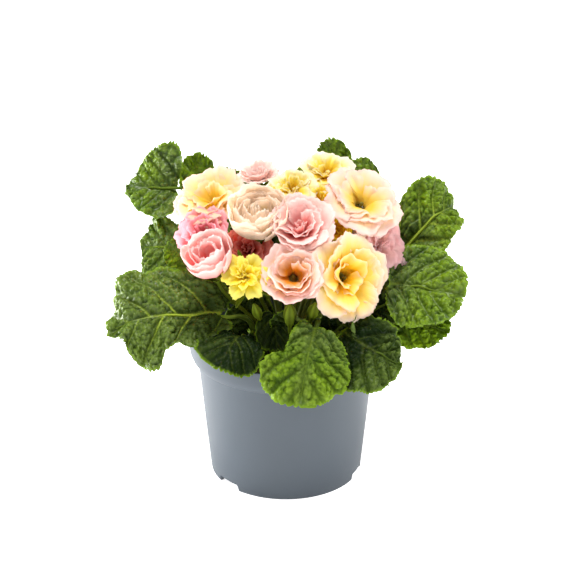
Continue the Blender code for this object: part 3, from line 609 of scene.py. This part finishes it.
def stalk_green():
    """Downy yellow-green stalks and calyces, darker and browner towards the foot."""
    g = Graph("stalk")
    along, ridge = g.attributes("along ridge")
    colour = g.mix(along, (0.036, 0.03, 0.004), (0.08, 0.108, 0.004))
    colour = g.mix(ridge * 0.7, colour, (0.2, 0.28, 0.016))
    colour = g.mix(g.noise(4, 3) * 0.35, colour, (0.05, 0.085, 0.005))
    g.set(Base_Color=colour, Roughness=0.55, Normal=g.bump(g.noise(0.5, 2), 0.08), Specular_IOR_Level=0.1)
    g.let_through(colour, 0.12)
    return g.material


def petal_skin(tint):
    """A soft petal: its deep colour at the root, its pale colour at the frilled edge, faint veins along
    it, and light that comes through.  The deep colour reaches farther on inner whorls as a painted glow of light
    bounced in the bloom, and the roots of a closed bloom's petals take painted shade."""
    g = Graph("petal_" + tint)
    deep, middle, edge = PETAL_COLOURS[tint]
    along, across, inner, hollow, gold, blush, under = g.attributes("along across inner hollow gold blush under")
    patch = g.noise(6, 3)
    # The deep colour runs farther out on inner whorls and on the upper face: a painted glow of light bounced deep in
    # the bloom, over the petals' own deeper root colour.
    reach = (along + 0.16 * (patch - 0.5) - 0.28 * inner - gold - 0.1 * (1 - under)).clamped()
    line = (across * 64 + 3 * patch).math("SINE")
    streak = ((line * 0.5 + 0.5) ** 3) * 0.16 * (1 - along)
    colour = g.mix(streak, g.ramp(reach, (0.1, deep), (0.4, middle), (0.74, edge)), middle)
    colour = g.mix(blush * ((along - 0.45) * 2.2).clamped() * (0.35 + 0.5 * patch), colour, BLUSH)
    colour = g.mix(hollow * 0.85, colour, THROAT)
    g.set(Base_Color=colour, Roughness=0.6, Normal=g.bump(g.noise(0.9, 3) + 0.5 * line, 0.06),
          Specular_IOR_Level=0.3, Sheen_Weight=0.1)
    g.let_through(colour, 0.6)
    return g.material


# ---- stems


def stem_path(foot, end, arrive, count):
    """Points along a stem from its foot in the soil to end, which it meets in the direction arrive."""
    azimuth, distance = radians(foot[0]), foot[1]
    x, y = distance * cos(azimuth), distance * sin(azimuth)
    neck = np.array([x, y, SOIL_CROWN_HEIGHT + 0.5])
    end = np.asarray(end, float)
    rise = STEM_HANDLE * np.linalg.norm(end - np.array([x, y, SOIL_CROWN_HEIGHT]))
    out = np.array([x * STEM_LEAN, y * STEM_LEAN, rise])
    handles = (neck, neck + out, end - unit(arrive) * rise, end)
    t = np.linspace(0, 1, count)[:, None]
    weights = ((1 - t) ** 3, 3 * t * (1 - t) ** 2, 3 * t ** 2 * (1 - t), t ** 3)
    return np.vstack([[x, y, STEM_HOLE_BOTTOM + GAP], sum(w * h for w, h in zip(weights, handles))])


# ---- leaves


def concentric(s, t):
    """Turns a square's points into a disc's: distance from the centre, and angle."""
    wide = np.abs(s) >= np.abs(t)
    long, short = np.where(wide, s, t), np.where(wide, t, s)
    turn = pi / 4 * short / np.where(long == 0, 1, long)
    angle = np.where(wide, turn, pi / 2 - turn)
    return np.abs(long), np.where(long < 0, angle + pi, angle)


def blade_outline(name, angle):
    """Distance of a leaf's edge from the blade's middle, 1 at the tip: a squarish round with a notch
    where the stalk joins, times the leaf's own factor."""
    squarish = (np.abs(np.cos(angle)) ** OUTLINE_POWER + np.abs(np.sin(angle)) ** OUTLINE_POWER)
    notch = 1 - STALK_NOTCH_DEPTH * hump(angle % TURN - pi, STALK_NOTCH_WIDTH)
    own = OUTLINES.get(name, {0: 1})
    factor = np.interp(np.degrees(angle) % 360, list(own), list(own.values()), period=360)
    return squarish ** (-1 / OUTLINE_POWER) * notch * factor


def midrib(leaf, along):
    """Point, forward, sideways and upper-face vectors of a blade's midrib; along runs from 0 to 1."""
    base, middle, tip, face = np.array((leaf.base, leaf.middle, leaf.tip, leaf.face), float)
    handle = 2 * middle - (base + tip) / 2
    t = np.asarray(along, float)[..., None]
    point = (1 - t) ** 2 * base + 2 * t * (1 - t) * handle + t ** 2 * tip
    forward = unit(2 * (1 - t) * (handle - base) + 2 * t * (tip - handle))
    side = unit(np.cross(face, forward))
    return point, forward, side, np.cross(forward, side)


def blade_length(leaf):
    """The straight distance from a blade's base to its tip."""
    return np.linalg.norm(np.subtract(leaf.tip, leaf.base))


def blade_points(leaf, rho, angle, radius):
    """Points of a bare blade at (rho, angle) of a disc whose edge is at radius, with the distance
    along and across it in millimetres."""
    ahead = rho * radius * np.cos(angle)
    across = rho * radius * np.sin(angle) * (1 + leaf.skew * ahead) * leaf.half_width
    point, _, side, up = midrib(leaf, 0.5 + 0.5 * ahead)
    bend = leaf.cup / leaf.half_width
    sideways = np.sin(bend * across) / bend
    lift = (1 - np.cos(bend * across)) / bend
    lift = lift + leaf.wave * leaf.half_width * rho ** 3 * np.sin(BLADE_WAVES * angle + leaf.phase)
    points = point + side * sideways[..., None] + up * lift[..., None]
    return points, (0.5 + 0.5 * ahead) * blade_length(leaf), across


def normals_to(points, way):
    """Unit normals of a grid of points, on the side that mostly looks the given way."""
    normal = unit(np.cross(np.gradient(points, axis=0), np.gradient(points, axis=1)))
    return -normal if (normal * way).sum() < 0 else normal


def veins(leaf, along, across, seed):
    """Distance from the midrib and from the nearest side vein, and between side veins, in millimetres.

    A side vein leaves the midrib at along0 and runs out and forward, more steeply near the tip:
    along = along0 + |across| (g0 + g1 along0 / length) + bend across^2 / length.
    """
    length = blade_length(leaf)
    out = np.abs(across)
    g0, g1, bend = VEIN_SLOPES
    spread = 1 + g1 * out / length
    start = (along - g0 * out - bend * out ** 2 / length) / spread
    start = start + 0.8 * ripple(along / 9, across / 9, seed)
    pitch = length / LATERALS
    shifted = start / pitch + np.where(across > 0, 0.5, 0)
    slope = np.hypot(1, g0 + 2 * bend * out / length + g1 * np.clip(start, 0, length) / length) / spread
    return out, np.abs(shifted - np.round(shifted)) * pitch / slope, pitch


def leaf_stem(leaf):
    """A leaf's stalk, and the rib that it becomes along the blade's underside."""
    point, forward, _, _ = midrib(leaf, np.array([0.02]))
    stalk = stem_path(leaf.foot, point[0], forward[0], 22)
    run = np.linspace(0.06, 0.93, 22)
    rib, _, _, up = midrib(leaf, run)
    rib_radius = RIB_RADIUS * (1 - 0.8 * run)
    sunk = 0.2 + 0.85 * rib_radius + (0.55 * PILLOW + 0.5) * leaf.depth * smooth(0, 0.3, np.abs(2 * run - 1))
    radii = np.concatenate([np.full(len(stalk) - 3, LEAF_STALK_RADIUS), [1.38, 1.25, 1.1], rib_radius])
    paleness = leaf.veins * (1 - 0.75 * smooth(0.35, 0.85, run)) * smooth(-0.1, 0.25, run)
    # The stalk is darkened with painted shade; the rib takes the blade's tone and painted shade, at most 0.2.
    shade = np.full(len(run), min(leaf.fresh, 0.2))
    return tube(np.vstack([stalk, rib - up * sunk[:, None]]), radii * min(1, 0.55 + leaf.half_width / 40), 10,
                vein=np.concatenate([np.full(len(stalk), 0.12), paleness]), margin=0,
                fresh=np.concatenate([np.full(len(stalk), -0.6), shade]), pucker=0.3, under=0)


def build_leaf(name, leaf, seed):
    """A blade of two faces over one relief, on its stalk.

    The relief adds a slow unevenness, a pillow between side veins, puckers between the net of small
    veins, and a frill that grows towards the margin.  The margin is cut into rounded teeth.
    """
    half_width, depth = leaf.half_width, leaf.depth
    line = np.linspace(-1, 1, int(np.clip(2 * half_width / BLADE_SPACING, *BLADE_CELLS)) + 1)
    rho, angle = concentric(*np.meshgrid(line, line, indexing="ij"))
    x, y = np.cos(angle), np.sin(angle)
    teeth = round(TURN * half_width / TOOTH_WIDTH)
    drift = 0.35 * ripple(3 * x, 3 * y, seed)
    tooth = np.abs(np.sin((teeth / 2) * (angle + drift))) ** 0.7
    tooth = (tooth - 0.7) * TOOTH_DEPTH * (1 + 0.5 * ripple(5 * x, 5 * y, seed + 3))
    lobe = 0.035 * ripple(2.6 * x + 9, 2.6 * y, seed + 5)
    radius = blade_outline(name, angle) * (1 + lobe + rho ** 6 * tooth / half_width)
    base, along, across = blade_points(leaf, rho, angle, radius)
    normal = normals_to(base, midrib(leaf, np.array([0.5]))[3])
    rib, side_vein, pitch = veins(leaf, along, across, seed)
    share = along / along.max()
    size = PUCKER_SIZE * (0.75 + 0.25 * min(1, half_width / 25))
    nearest, line_gap = pebbles(along / size + 0.35 * ripple(along / 4, across / 4, seed + 11),
                                across / size + 0.35 * ripple(along / 4, across / 4, seed + 12), seed)
    cell = np.clip(1 - (nearest / 0.75) ** 2, 0, 1)
    off_vein = smooth(0.1, 1.4, side_vein) * smooth(0.3, 2, rib)
    pillow = (1 - (1 - np.clip(2.2 * side_vein / pitch, 0, 1)) ** 2) * smooth(0, 5, rib)
    inside = 1 - 0.6 * smooth(0.86, 1, rho)
    relief = depth * inside * (PUCKER_DEPTH * (cell - 0.5) * off_vein + PILLOW * (pillow - 0.55))
    relief -= min(0.5, 0.15 + 0.5 * leaf.veins) * depth * hump(rib, 1.6) * smooth(0, 0.3, rho)
    relief += SWELL * half_width * ripple(along / 13, across / 13, seed + 21) * (0.6 + 0.8 * rho)
    frill = 1.1 * ripple(half_width / 4 * x, half_width / 4 * y, seed + 7)
    frill = frill + 0.6 * np.sin(teeth / 4 * angle + 2 * drift + seed)
    relief += smooth(0.6, 1, rho) ** 2 * frill * min(1, half_width / 16)
    thick = EDGE_THICKNESS + (BLADE_THICKNESS - EDGE_THICKNESS) * (1 - rho ** 4)
    under_rib = 0.45 * hump(side_vein, 0.7) * (1 - rho ** 3) * smooth(0.5, 4, rib)
    top = base + normal * relief[..., None]
    taper = 1 - 0.8 * np.clip(share, 0, 1)
    vein = hump(rib, 0.15 + 1 * taper ** 1.5) * (1 - 0.75 * smooth(0.35, 0.85, share))
    side_line = (0.98 - 0.65 * rho) * hump(side_vein, 0.22 + 0.32 * (1 - rho))
    finest = 0.12 * (1 - smooth(0, 0.25, line_gap)) * (1 - 0.5 * rho)
    # Painted shade: darker towards the blade's base, where the blooms shade it, and in the valleys between side
    # veins; the ripple is the leaf's own uneven tone.
    shaded = leaf.fresh + 0.07 - 1.05 * (1 - smooth(0.05, 0.6, share)) * (1 - rho ** 4)
    shaded = shaded + (0.55 * pillow - 0.3 + 0.3 * ripple(along / 11, across / 11, seed + 31)) * (1 - 0.5 * rho)
    blade = sheet(top, top - normal * (thick + under_rib)[..., None],
                  vein=leaf.veins * np.maximum(np.maximum(vein, side_line), finest), margin=smooth(0.93, 1, rho),
                  fresh=shaded, pucker=np.clip(cell * off_vein, 0, 1), along=along, across=across,
                  gloss=GLOSS.get(name, 1))
    return joined([blade, leaf_stem(leaf)])


# ---- blooms


def bloom_frame(bloom):
    """Root, and the side, other side and axis directions of a bloom."""
    axis = unit(bloom.facing)
    side = unit(np.cross(axis, (0, 0, 1)))
    other = np.cross(axis, side)
    turn = radians(bloom.turn)
    root = np.asarray(bloom.centre, float) - axis * bloom.radius * ROOT_DEPTH[bloom.form]
    return root, around(turn, side, other), around(turn, other, -side), axis


def build_petal(bloom, whorl, level, number, chance):
    """One petal: a claw that opens into a broad blade with a toothed, frilled and ruffled edge.

    (s, t) runs from the claw to the edge and from side to side.  Along s the petal bends evenly from one
    angle off the axis to another.  One side lies over the next petal.  Inner petals are less even.
    """
    petals, point = whorl.petals, whorl.point
    root, side, other, axis = bloom_frame(bloom)
    span = bloom.radius * whorl.length
    rows = int(np.clip(span * 0.65, *PETAL_ROWS))
    columns = int(np.clip(span * 11 / petals, *PETAL_COLUMNS))
    s, t = np.meshgrid(np.linspace(0, 1, rows + 1), np.linspace(-1, 1, columns + 1), indexing="ij")
    loose = 1.3 + 1.3 * level
    length = whorl.length * (1 + 0.05 * loose * chance.uniform(-1, 1))
    start = radians(whorl.start + 3 * loose * chance.uniform(-1, 1))
    end = radians(whorl.end + 6 * loose * chance.uniform(-1, 1))
    centre = TURN * (number + 0.09 * loose * chance.uniform(-1, 1)) / petals + radians(whorl.turn)
    phase = chance.uniform(0, TURN, 8)
    teeth = span * 0.8
    edge = 1 - 0.18 * smooth(0.62, 1, np.abs(t)) - 0.05 * (1 - point) * hump(t, 0.12)
    edge = edge - 0.45 * point * np.abs(t) ** 1.5
    edge = edge + 0.035 * np.sin(4.3 * t + phase[0]) + 0.018 * np.sin(11 * t + phase[1])
    edge = edge + 0.4 / span * np.sin(teeth * t + phase[2]) + 0.35 / span * np.sin(2.6 * teeth * t + phase[3])
    reach = CLAW + (1 - CLAW) * s * edge
    roll = radians(whorl.curl) * smooth(0.7, 1, reach) ** 2 * (0.5 + 0.7 * np.sin(2.6 * t + phase[4]))
    slope = start + (end - start) * reach + roll
    steps = np.diff(reach, axis=0, prepend=0)
    out = length * np.cumsum(np.sin(slope) * steps, axis=0) + bloom.throat / bloom.radius
    rise = length * np.cumsum(np.cos(slope) * steps, axis=0)
    half = whorl.width * pi / petals * (0.55 + 0.45 * smooth(0, 0.6, s))
    azimuth = centre + half * t
    azimuth = azimuth + 0.05 * reach ** 2 * np.sin(5 * t + phase[5])
    radial = around(azimuth, side, other)
    inward = -np.cos(slope)[..., None] * radial + np.sin(slope)[..., None] * axis
    wave = reach ** 2.5 * (np.sin(4.3 * t + phase[5]) + 0.7 * np.sin(8.7 * t + phase[6]))
    wave = whorl.ruffle * (wave + 0.5 * reach ** 4 * np.sin(17 * t + phase[7]))
    lap = 0.075 * t * smooth(0, 0.35, reach)
    lift = wave + lap - 0.03 * hump(t, 0.15) * reach * (1 - reach) * 4
    middle = root + WHORL_STEP * level * axis
    middle = middle + bloom.radius * (out[..., None] * radial + rise[..., None] * axis + lift[..., None] * inward)
    thick = PETAL_EDGE_THICKNESS + (PETAL_ROOT_THICKNESS - PETAL_EDGE_THICKNESS) * (1 - s)
    offset = normals_to(middle, inward) * (thick / 2)[..., None]
    # Olive at the petal roots: the centre's own colour in an open throat, painted shade deep in a closed bloom.
    hollow = (1 - smooth(0, 0.16, reach)) * (1 if bloom.throat > OPEN_THROAT else 0.35)
    return sheet(middle + offset, middle - offset, along=s, across=t * half * petals / pi,
                 inner=level / 3, hollow=hollow, gold=bloom.gold, blush=bloom.blush)


def build_bloom(bloom, seed):
    """All petals of a bloom, whorl by whorl.  One with an open throat has its three outer whorls only,
    and a disc at the bottom of the throat with a small domed stigma on it."""
    chance = np.random.default_rng(seed)
    is_open = bloom.throat > OPEN_THROAT
    whorls = [Whorl(*row) for row in FORMS[bloom.form][:3 if is_open else None]]
    parts = [build_petal(bloom, whorl, level, number, chance)
             for level, whorl in enumerate(whorls) for number in range(whorl.petals)]
    if is_open:
        root, _, _, axis = bloom_frame(bloom)
        height = np.array([-0.05, 0, 0.03, 0.06, 0.5, 0.8, 0.9, 1]) * bloom.radius * 0.3
        wide = bloom.throat + 0.8
        radii = (wide, wide, 0.8 * wide, 0.5, 0.5, 0.9, 1, 0.5)
        parts.append(tube(root + axis * height[:, None], radii, 12, along=0.3, hollow=1, gold=0.3))
    return joined(parts)


def build_stalk(bloom, seed):
    """A flower stalk that swells into a ridged calyx, with five pointed sepals under the bloom."""
    root, side, other, axis = bloom_frame(bloom)
    top = root - axis * (PETAL_THICKNESS / 2 + GAP)
    bottom = top - axis * CALYX_LENGTH
    path = stem_path(bloom.foot, bottom, axis, 30)
    stem = tube(path, STALK_RADIUS, 10, along=np.linspace(0, 1, len(path)), ridge=0.15, under=0)
    v = np.linspace(0, 1, 14)
    turn = round_angles(30)
    swell = STALK_RADIUS + (CALYX_RADIUS + 0.4 - STALK_RADIUS) * smooth(0, 0.45, v) - 0.5 * smooth(0.75, 1, v)
    swell = swell[:, None] * (1 + 0.1 * np.cos(SEPALS * turn))
    body = bottom + axis * (CALYX_LENGTH * v)[:, None, None] + around(turn, side, other) * swell[..., None]
    calyx = rings(body, bottom, top, along=1, ridge=0.35 + 0.35 * np.cos(SEPALS * turn), under=0)
    chance = np.random.default_rng(seed)
    parts = [stem, calyx]
    s, t = np.meshgrid(np.linspace(0, 1, 11), np.linspace(-1, 1, 7), indexing="ij")
    length = SEPAL_LENGTH * (STAR_SEPALS if bloom.form == "star" else 1)
    near = STALK_RADIUS + 0.9
    width = 2.1 * np.sin(pi * np.clip(0.25 + 0.75 * s, 0, 1)) ** 0.8 + 0.12
    rise = -SEPAL_ROOT_DEPTH * (1 - s) ** 1.1 - 0.5 + 0.6 * np.abs(t)
    for number in range(SEPALS):
        azimuth = TURN * number / SEPALS
        reach = length * (1 + 0.1 * chance.uniform(-1, 1))
        radial, tangent = around(azimuth, side, other), around(azimuth, other, -side)
        out = near + (reach - near) * s ** 1.25
        blade = top + out[..., None] * radial + rise[..., None] * axis + (width * t)[..., None] * tangent
        thin = normals_to(blade, axis) * SEPAL_THICKNESS / 2
        parts.append(sheet(blade + thin, blade - thin, along=1, ridge=0.35 + 0.4 * hump(t, 0.2) * (1 - s)))
    return joined(parts)


def build_bud(bud):
    """A closed bud in its green calyx: a ribbed spindle of rings on a stalk, drawn out to a point.
    Its radius along the axis is r sin(pi (0.08 + 0.92 v))^0.7, v from 0 at the stalk to 1."""
    middle, facing, foot, radius, length = bud
    axis = unit(facing)
    bottom = np.asarray(middle, float) - axis * length / 2
    path = stem_path(foot, bottom, axis, 24)
    v = np.linspace(0.04, 1, 12)
    swell = radius * np.sin(pi * (0.08 + 0.92 * v)).clip(0.01) ** 0.7
    return tube(np.vstack([path, bottom + axis * (length * v)[:, None]]),
                np.concatenate([np.full(len(path), STALK_RADIUS), swell]), 20, flute=0.14,
                along=np.concatenate([np.linspace(0, 1, len(path)), np.ones(len(v))]), under=0)


# ---- pot and soil


def wall_radius(height):
    """Outer radius of the pot's tapered body at a height."""
    share = height / (POT_HEIGHT - POT_BAND_HEIGHT)
    return POT_FOOT_RADIUS + (POT_BODY_RADIUS - POT_FOOT_RADIUS) * share


def wall(height, inset=0, bend=0):
    """A corner of the pot's outline at a height and a distance in from its outer face."""
    return wall_radius(height) - inset, height, bend


def rounded(corners):
    """An outline whose inner points, given as (radius, height, round), are rounded by a quadratic curve
    between the points at that distance along the two sides."""
    corners = np.array(corners, float)
    line = [corners[0, :2]]
    for before, here, after in zip(corners, corners[1:], corners[2:]):
        point, bend = here[:2], here[2]
        back, ahead = unit(before[:2] - point), unit(after[:2] - point)
        t = np.linspace(0, 1, 5)[:, None] if bend else np.array([[0.5]])
        line.extend((1 - t) ** 2 * (point + back * bend) + 2 * t * (1 - t) * point + t ** 2 * (point + ahead * bend))
    return np.array([*line, corners[-1, :2]])


def build_pot():
    """The pot's wall round the axis, from the middle of its inside floor over the lip to the middle of its
    underside.  In a notch the foot ends at the notch's height, and azimuths stand closer at its sides."""
    bottom, top = NOTCH_HALF_WIDTHS
    sides = [radians(a) + sign * half / POT_FOOT_RADIUS for a in NOTCH_AZIMUTHS for sign in (-1, 1)
             for half in (bottom + 0.15, bottom, top, top - 0.15)]
    wrapped = (np.array(sides) + pi) % TURN - pi
    azimuths = np.unique(np.round(np.concatenate([round_angles(180) - pi, wrapped]), 6))
    shoulder = POT_HEIGHT - POT_BAND_HEIGHT
    ledge = shoulder - 2 * POT_WALL
    band = POT_RIM_RADIUS - POT_BAND_DRAFT
    outer = rounded([
        (HUB_RADIUS, POT_FLOOR_TOP, 0),
        wall(POT_FLOOR_TOP, POT_WALL, 1.2),
        (wall_radius(ledge) - POT_WALL, ledge + POT_WALL / 2, 1),
        (band - POT_SHOULDER_IN - POT_WALL, shoulder + POT_WALL / 2, 1),
        (band - POT_WALL, shoulder + POT_SHOULDER_DROP, 1.5),
        (POT_RIM_RADIUS - POT_WALL, POT_HEIGHT, 0.35),
        (POT_RIM_RADIUS, POT_HEIGHT, 0.6),
        (band, shoulder + POT_SHOULDER_DROP, 2),
        (band - POT_SHOULDER_IN, shoulder, 0.9),
        (wall_radius(ledge) + 0.1, ledge + 1.2, 0.25),
        (wall_radius(ledge) - 0.1, ledge - 1, 0.5),
        wall(NOTCH_HEIGHT + 8),
        wall(NOTCH_HEIGHT + 0.6),
        wall(NOTCH_HEIGHT),
        wall(2),
        (POT_FOOT_RADIUS, 0, FOOT_CHAMFER),
        (POT_FOOT_RADIUS - FOOT_WIDTH, 0, 0.3),
        wall(NOTCH_HEIGHT, FOOT_WIDTH),
        wall(POT_FLOOR_UNDERSIDE, FOOT_WIDTH, 0.3),
        (HUB_RADIUS, POT_FLOOR_UNDERSIDE, 0),
    ])
    grid = np.repeat(outer[:, None, :], len(azimuths), axis=1)
    for centre in NOTCH_AZIMUTHS:
        away = np.abs((azimuths - radians(centre) + pi) % TURN - pi) * POT_FOOT_RADIUS
        low = NOTCH_HEIGHT * np.clip((bottom - away) / (bottom - top), 0, 1)
        grid[..., 1] = np.maximum(grid[..., 1], low)
    return turned(grid, azimuths)


def build_soil():
    """A low mound of peat: a disc with a slow unevenness and two sizes of crumbs."""
    share = np.linspace(0.02, 1, 70)
    azimuths = round_angles(180)
    edge = wall_radius(SOIL_EDGE_HEIGHT) - POT_WALL - GAP
    radius = (share * edge)[:, None] * np.ones(len(azimuths))
    x, y = radius * np.sin(azimuths), -radius * np.cos(azimuths)
    places, drops = zip(*SOIL_MOUND)
    mound = np.interp(radius, (*places, edge), (*(SOIL_CROWN_HEIGHT - drop for drop in drops), SOIL_EDGE_HEIGHT))
    crumbs = 0.9 * smooth(0, 0.6, pebbles(x / 3.4, y / 3.4, 5)[1])
    crumbs = crumbs + 0.5 * smooth(0, 0.6, pebbles(x / 1.5, y / 1.5, 9)[1])
    crumbs = crumbs + 0.7 * ripple(x / 9, y / 9, 4)
    height = mound - 0.9 + crumbs * (1 - smooth(0.97, 1, share))[:, None]
    bottom = POT_FLOOR_TOP + GAP
    under = [[(wall_radius(bottom) - POT_WALL - GAP, bottom)], [(HUB_RADIUS, bottom)]]
    under = np.repeat(np.array(under), len(azimuths), axis=1)
    return turned(np.concatenate([np.stack([radius, height], -1), under]), azimuths)


def cut_drain_holes(pot):
    """Cuts the round drain holes through the pot's floor."""
    turn = round_angles(32)
    low, high = POT_FLOOR_UNDERSIDE - 3, POT_FLOOR_TOP + 3
    parts = []
    for number in range(DRAIN_HOLES):
        azimuth = TURN * (number + 0.5) / DRAIN_HOLES
        x, y = DRAIN_HOLE_RING * sin(azimuth), -DRAIN_HOLE_RING * cos(azimuth)
        ring = (x + DRAIN_HOLE_RADIUS * np.cos(turn), y + DRAIN_HOLE_RADIUS * np.sin(turn))
        body = np.stack([np.stack([*ring, np.full(len(turn), height)], -1) for height in (low, high)])
        parts.append(rings(body, (x, y, low), (x, y, high)))
    points, faces, _ = joined(parts)
    drill = new_object("drill", points, faces)
    cut = pot.modifiers.new("drain", "BOOLEAN")
    cut.operation, cut.solver, cut.object = "DIFFERENCE", "EXACT", drill
    bpy.context.view_layer.update()
    pot.data = bpy.data.meshes.new_from_object(pot.evaluated_get(bpy.context.evaluated_depsgraph_get()))
    pot.modifiers.clear()
    bpy.data.objects.remove(drill)
    pot.data.set_sharp_from_angle(angle=radians(50))


# ---- the scene


def add_light(name, place, power, width, height=None):
    """A soft light that shines from a place in metres at the middle of the plant: a rectangle or, with
    no height, a sun whose disc is width degrees across."""
    light = bpy.data.lights.new(name, "AREA" if height else "SUN")
    light.energy = power
    if height:
        light.shape, light.size, light.size_y = "RECTANGLE", width, height
    else:
        light.angle = radians(width)
    lamp = bpy.data.objects.new(name, light)
    lamp.location = place
    lamp.rotation_euler = (Vector(LIGHTS_AIM) - Vector(place)).to_track_quat("-Z", "Y").to_euler()
    bpy.context.scene.collection.objects.link(lamp)


def add_stage():
    """The camera, a pale floor, soft studio lights and a pale surround."""
    scene = bpy.context.scene
    lens = bpy.data.cameras.new("camera")
    lens.lens, lens.sensor_width = 100, 36
    camera = bpy.data.objects.new("camera", lens)
    camera.location = CAMERA_PLACE
    camera.rotation_euler = (pi / 2 - CAMERA_PITCH, 0, 0)
    scene.collection.objects.link(camera)
    scene.camera = camera
    scene.view_settings.view_transform = "Standard"
    scene.world = bpy.data.worlds.new("surround")
    scene.world.use_nodes = True
    surround = scene.world.node_tree.nodes["Background"].inputs
    surround["Color"].default_value = (1, 1, 1, 1)
    surround["Strength"].default_value = SURROUND_STRENGTH
    for row in LIGHTS:
        add_light(*row)
    corners = [(-1, -1, 0), (1, -1, 0), (1, 1, 0), (-1, 1, 0)]
    floor = new_object("floor", np.array(corners) * FLOOR_REACH, np.array([[0, 1, 2, 3]]))
    g = Graph("floor")
    g.set(Base_Color=(0.93, 0.93, 0.93), Roughness=0.9, Specular_IOR_Level=0.1, Emission_Color=(1, 1, 1),
          Emission_Strength=FLOOR_GLOW)
    floor.data.materials.append(g.material)


def main():
    """Builds the stage, then every piece; the random seeds count up from the first of each kind."""
    add_stage()
    leaf, stalk = leaf_green(), stalk_green()
    for seed, (name, row) in enumerate(LEAVES.items(), 1):
        add_piece(f"leaf_{name}_fine", build_leaf(name, Leaf(*row), seed), leaf, "leaf_" + name)
    for seed, (letter, row) in enumerate(zip("abcdefgh", CROWN_LEAVES), 120):
        name = "crown_leaf_" + letter
        add_piece(name, build_leaf(name, Leaf(*row, *CROWN_LOOK), seed), leaf)
    skins = {tint: petal_skin(tint) for tint in PETAL_COLOURS}
    for seed, (name, row) in enumerate(BLOOMS.items(), 40):
        bloom = Bloom(*row)
        add_piece(f"bloom_{name}_fine", build_bloom(bloom, seed), skins[bloom.tint],
                  "bloom_" + name)
        add_piece(f"stalk_{name}_fine", build_stalk(bloom, seed + 40), stalk, "stalk_" + name)
    for seed, (name, row) in enumerate(SMALL_BLOOMS.items(), 160):
        bloom = Bloom(*row)
        add_piece(name, build_bloom(bloom, seed), skins[bloom.tint])
        add_piece(name + "_stalk", build_stalk(bloom, seed + 10), stalk)
    for name, row in BUDS.items():
        add_piece(name, build_bud(row), stalk)
    pot = add_piece("pot_fine", build_pot(), pot_plastic(), "pot")
    cut_drain_holes(pot)
    add_piece("soil_fine", build_soil(), potting_soil(), "soil")


main()
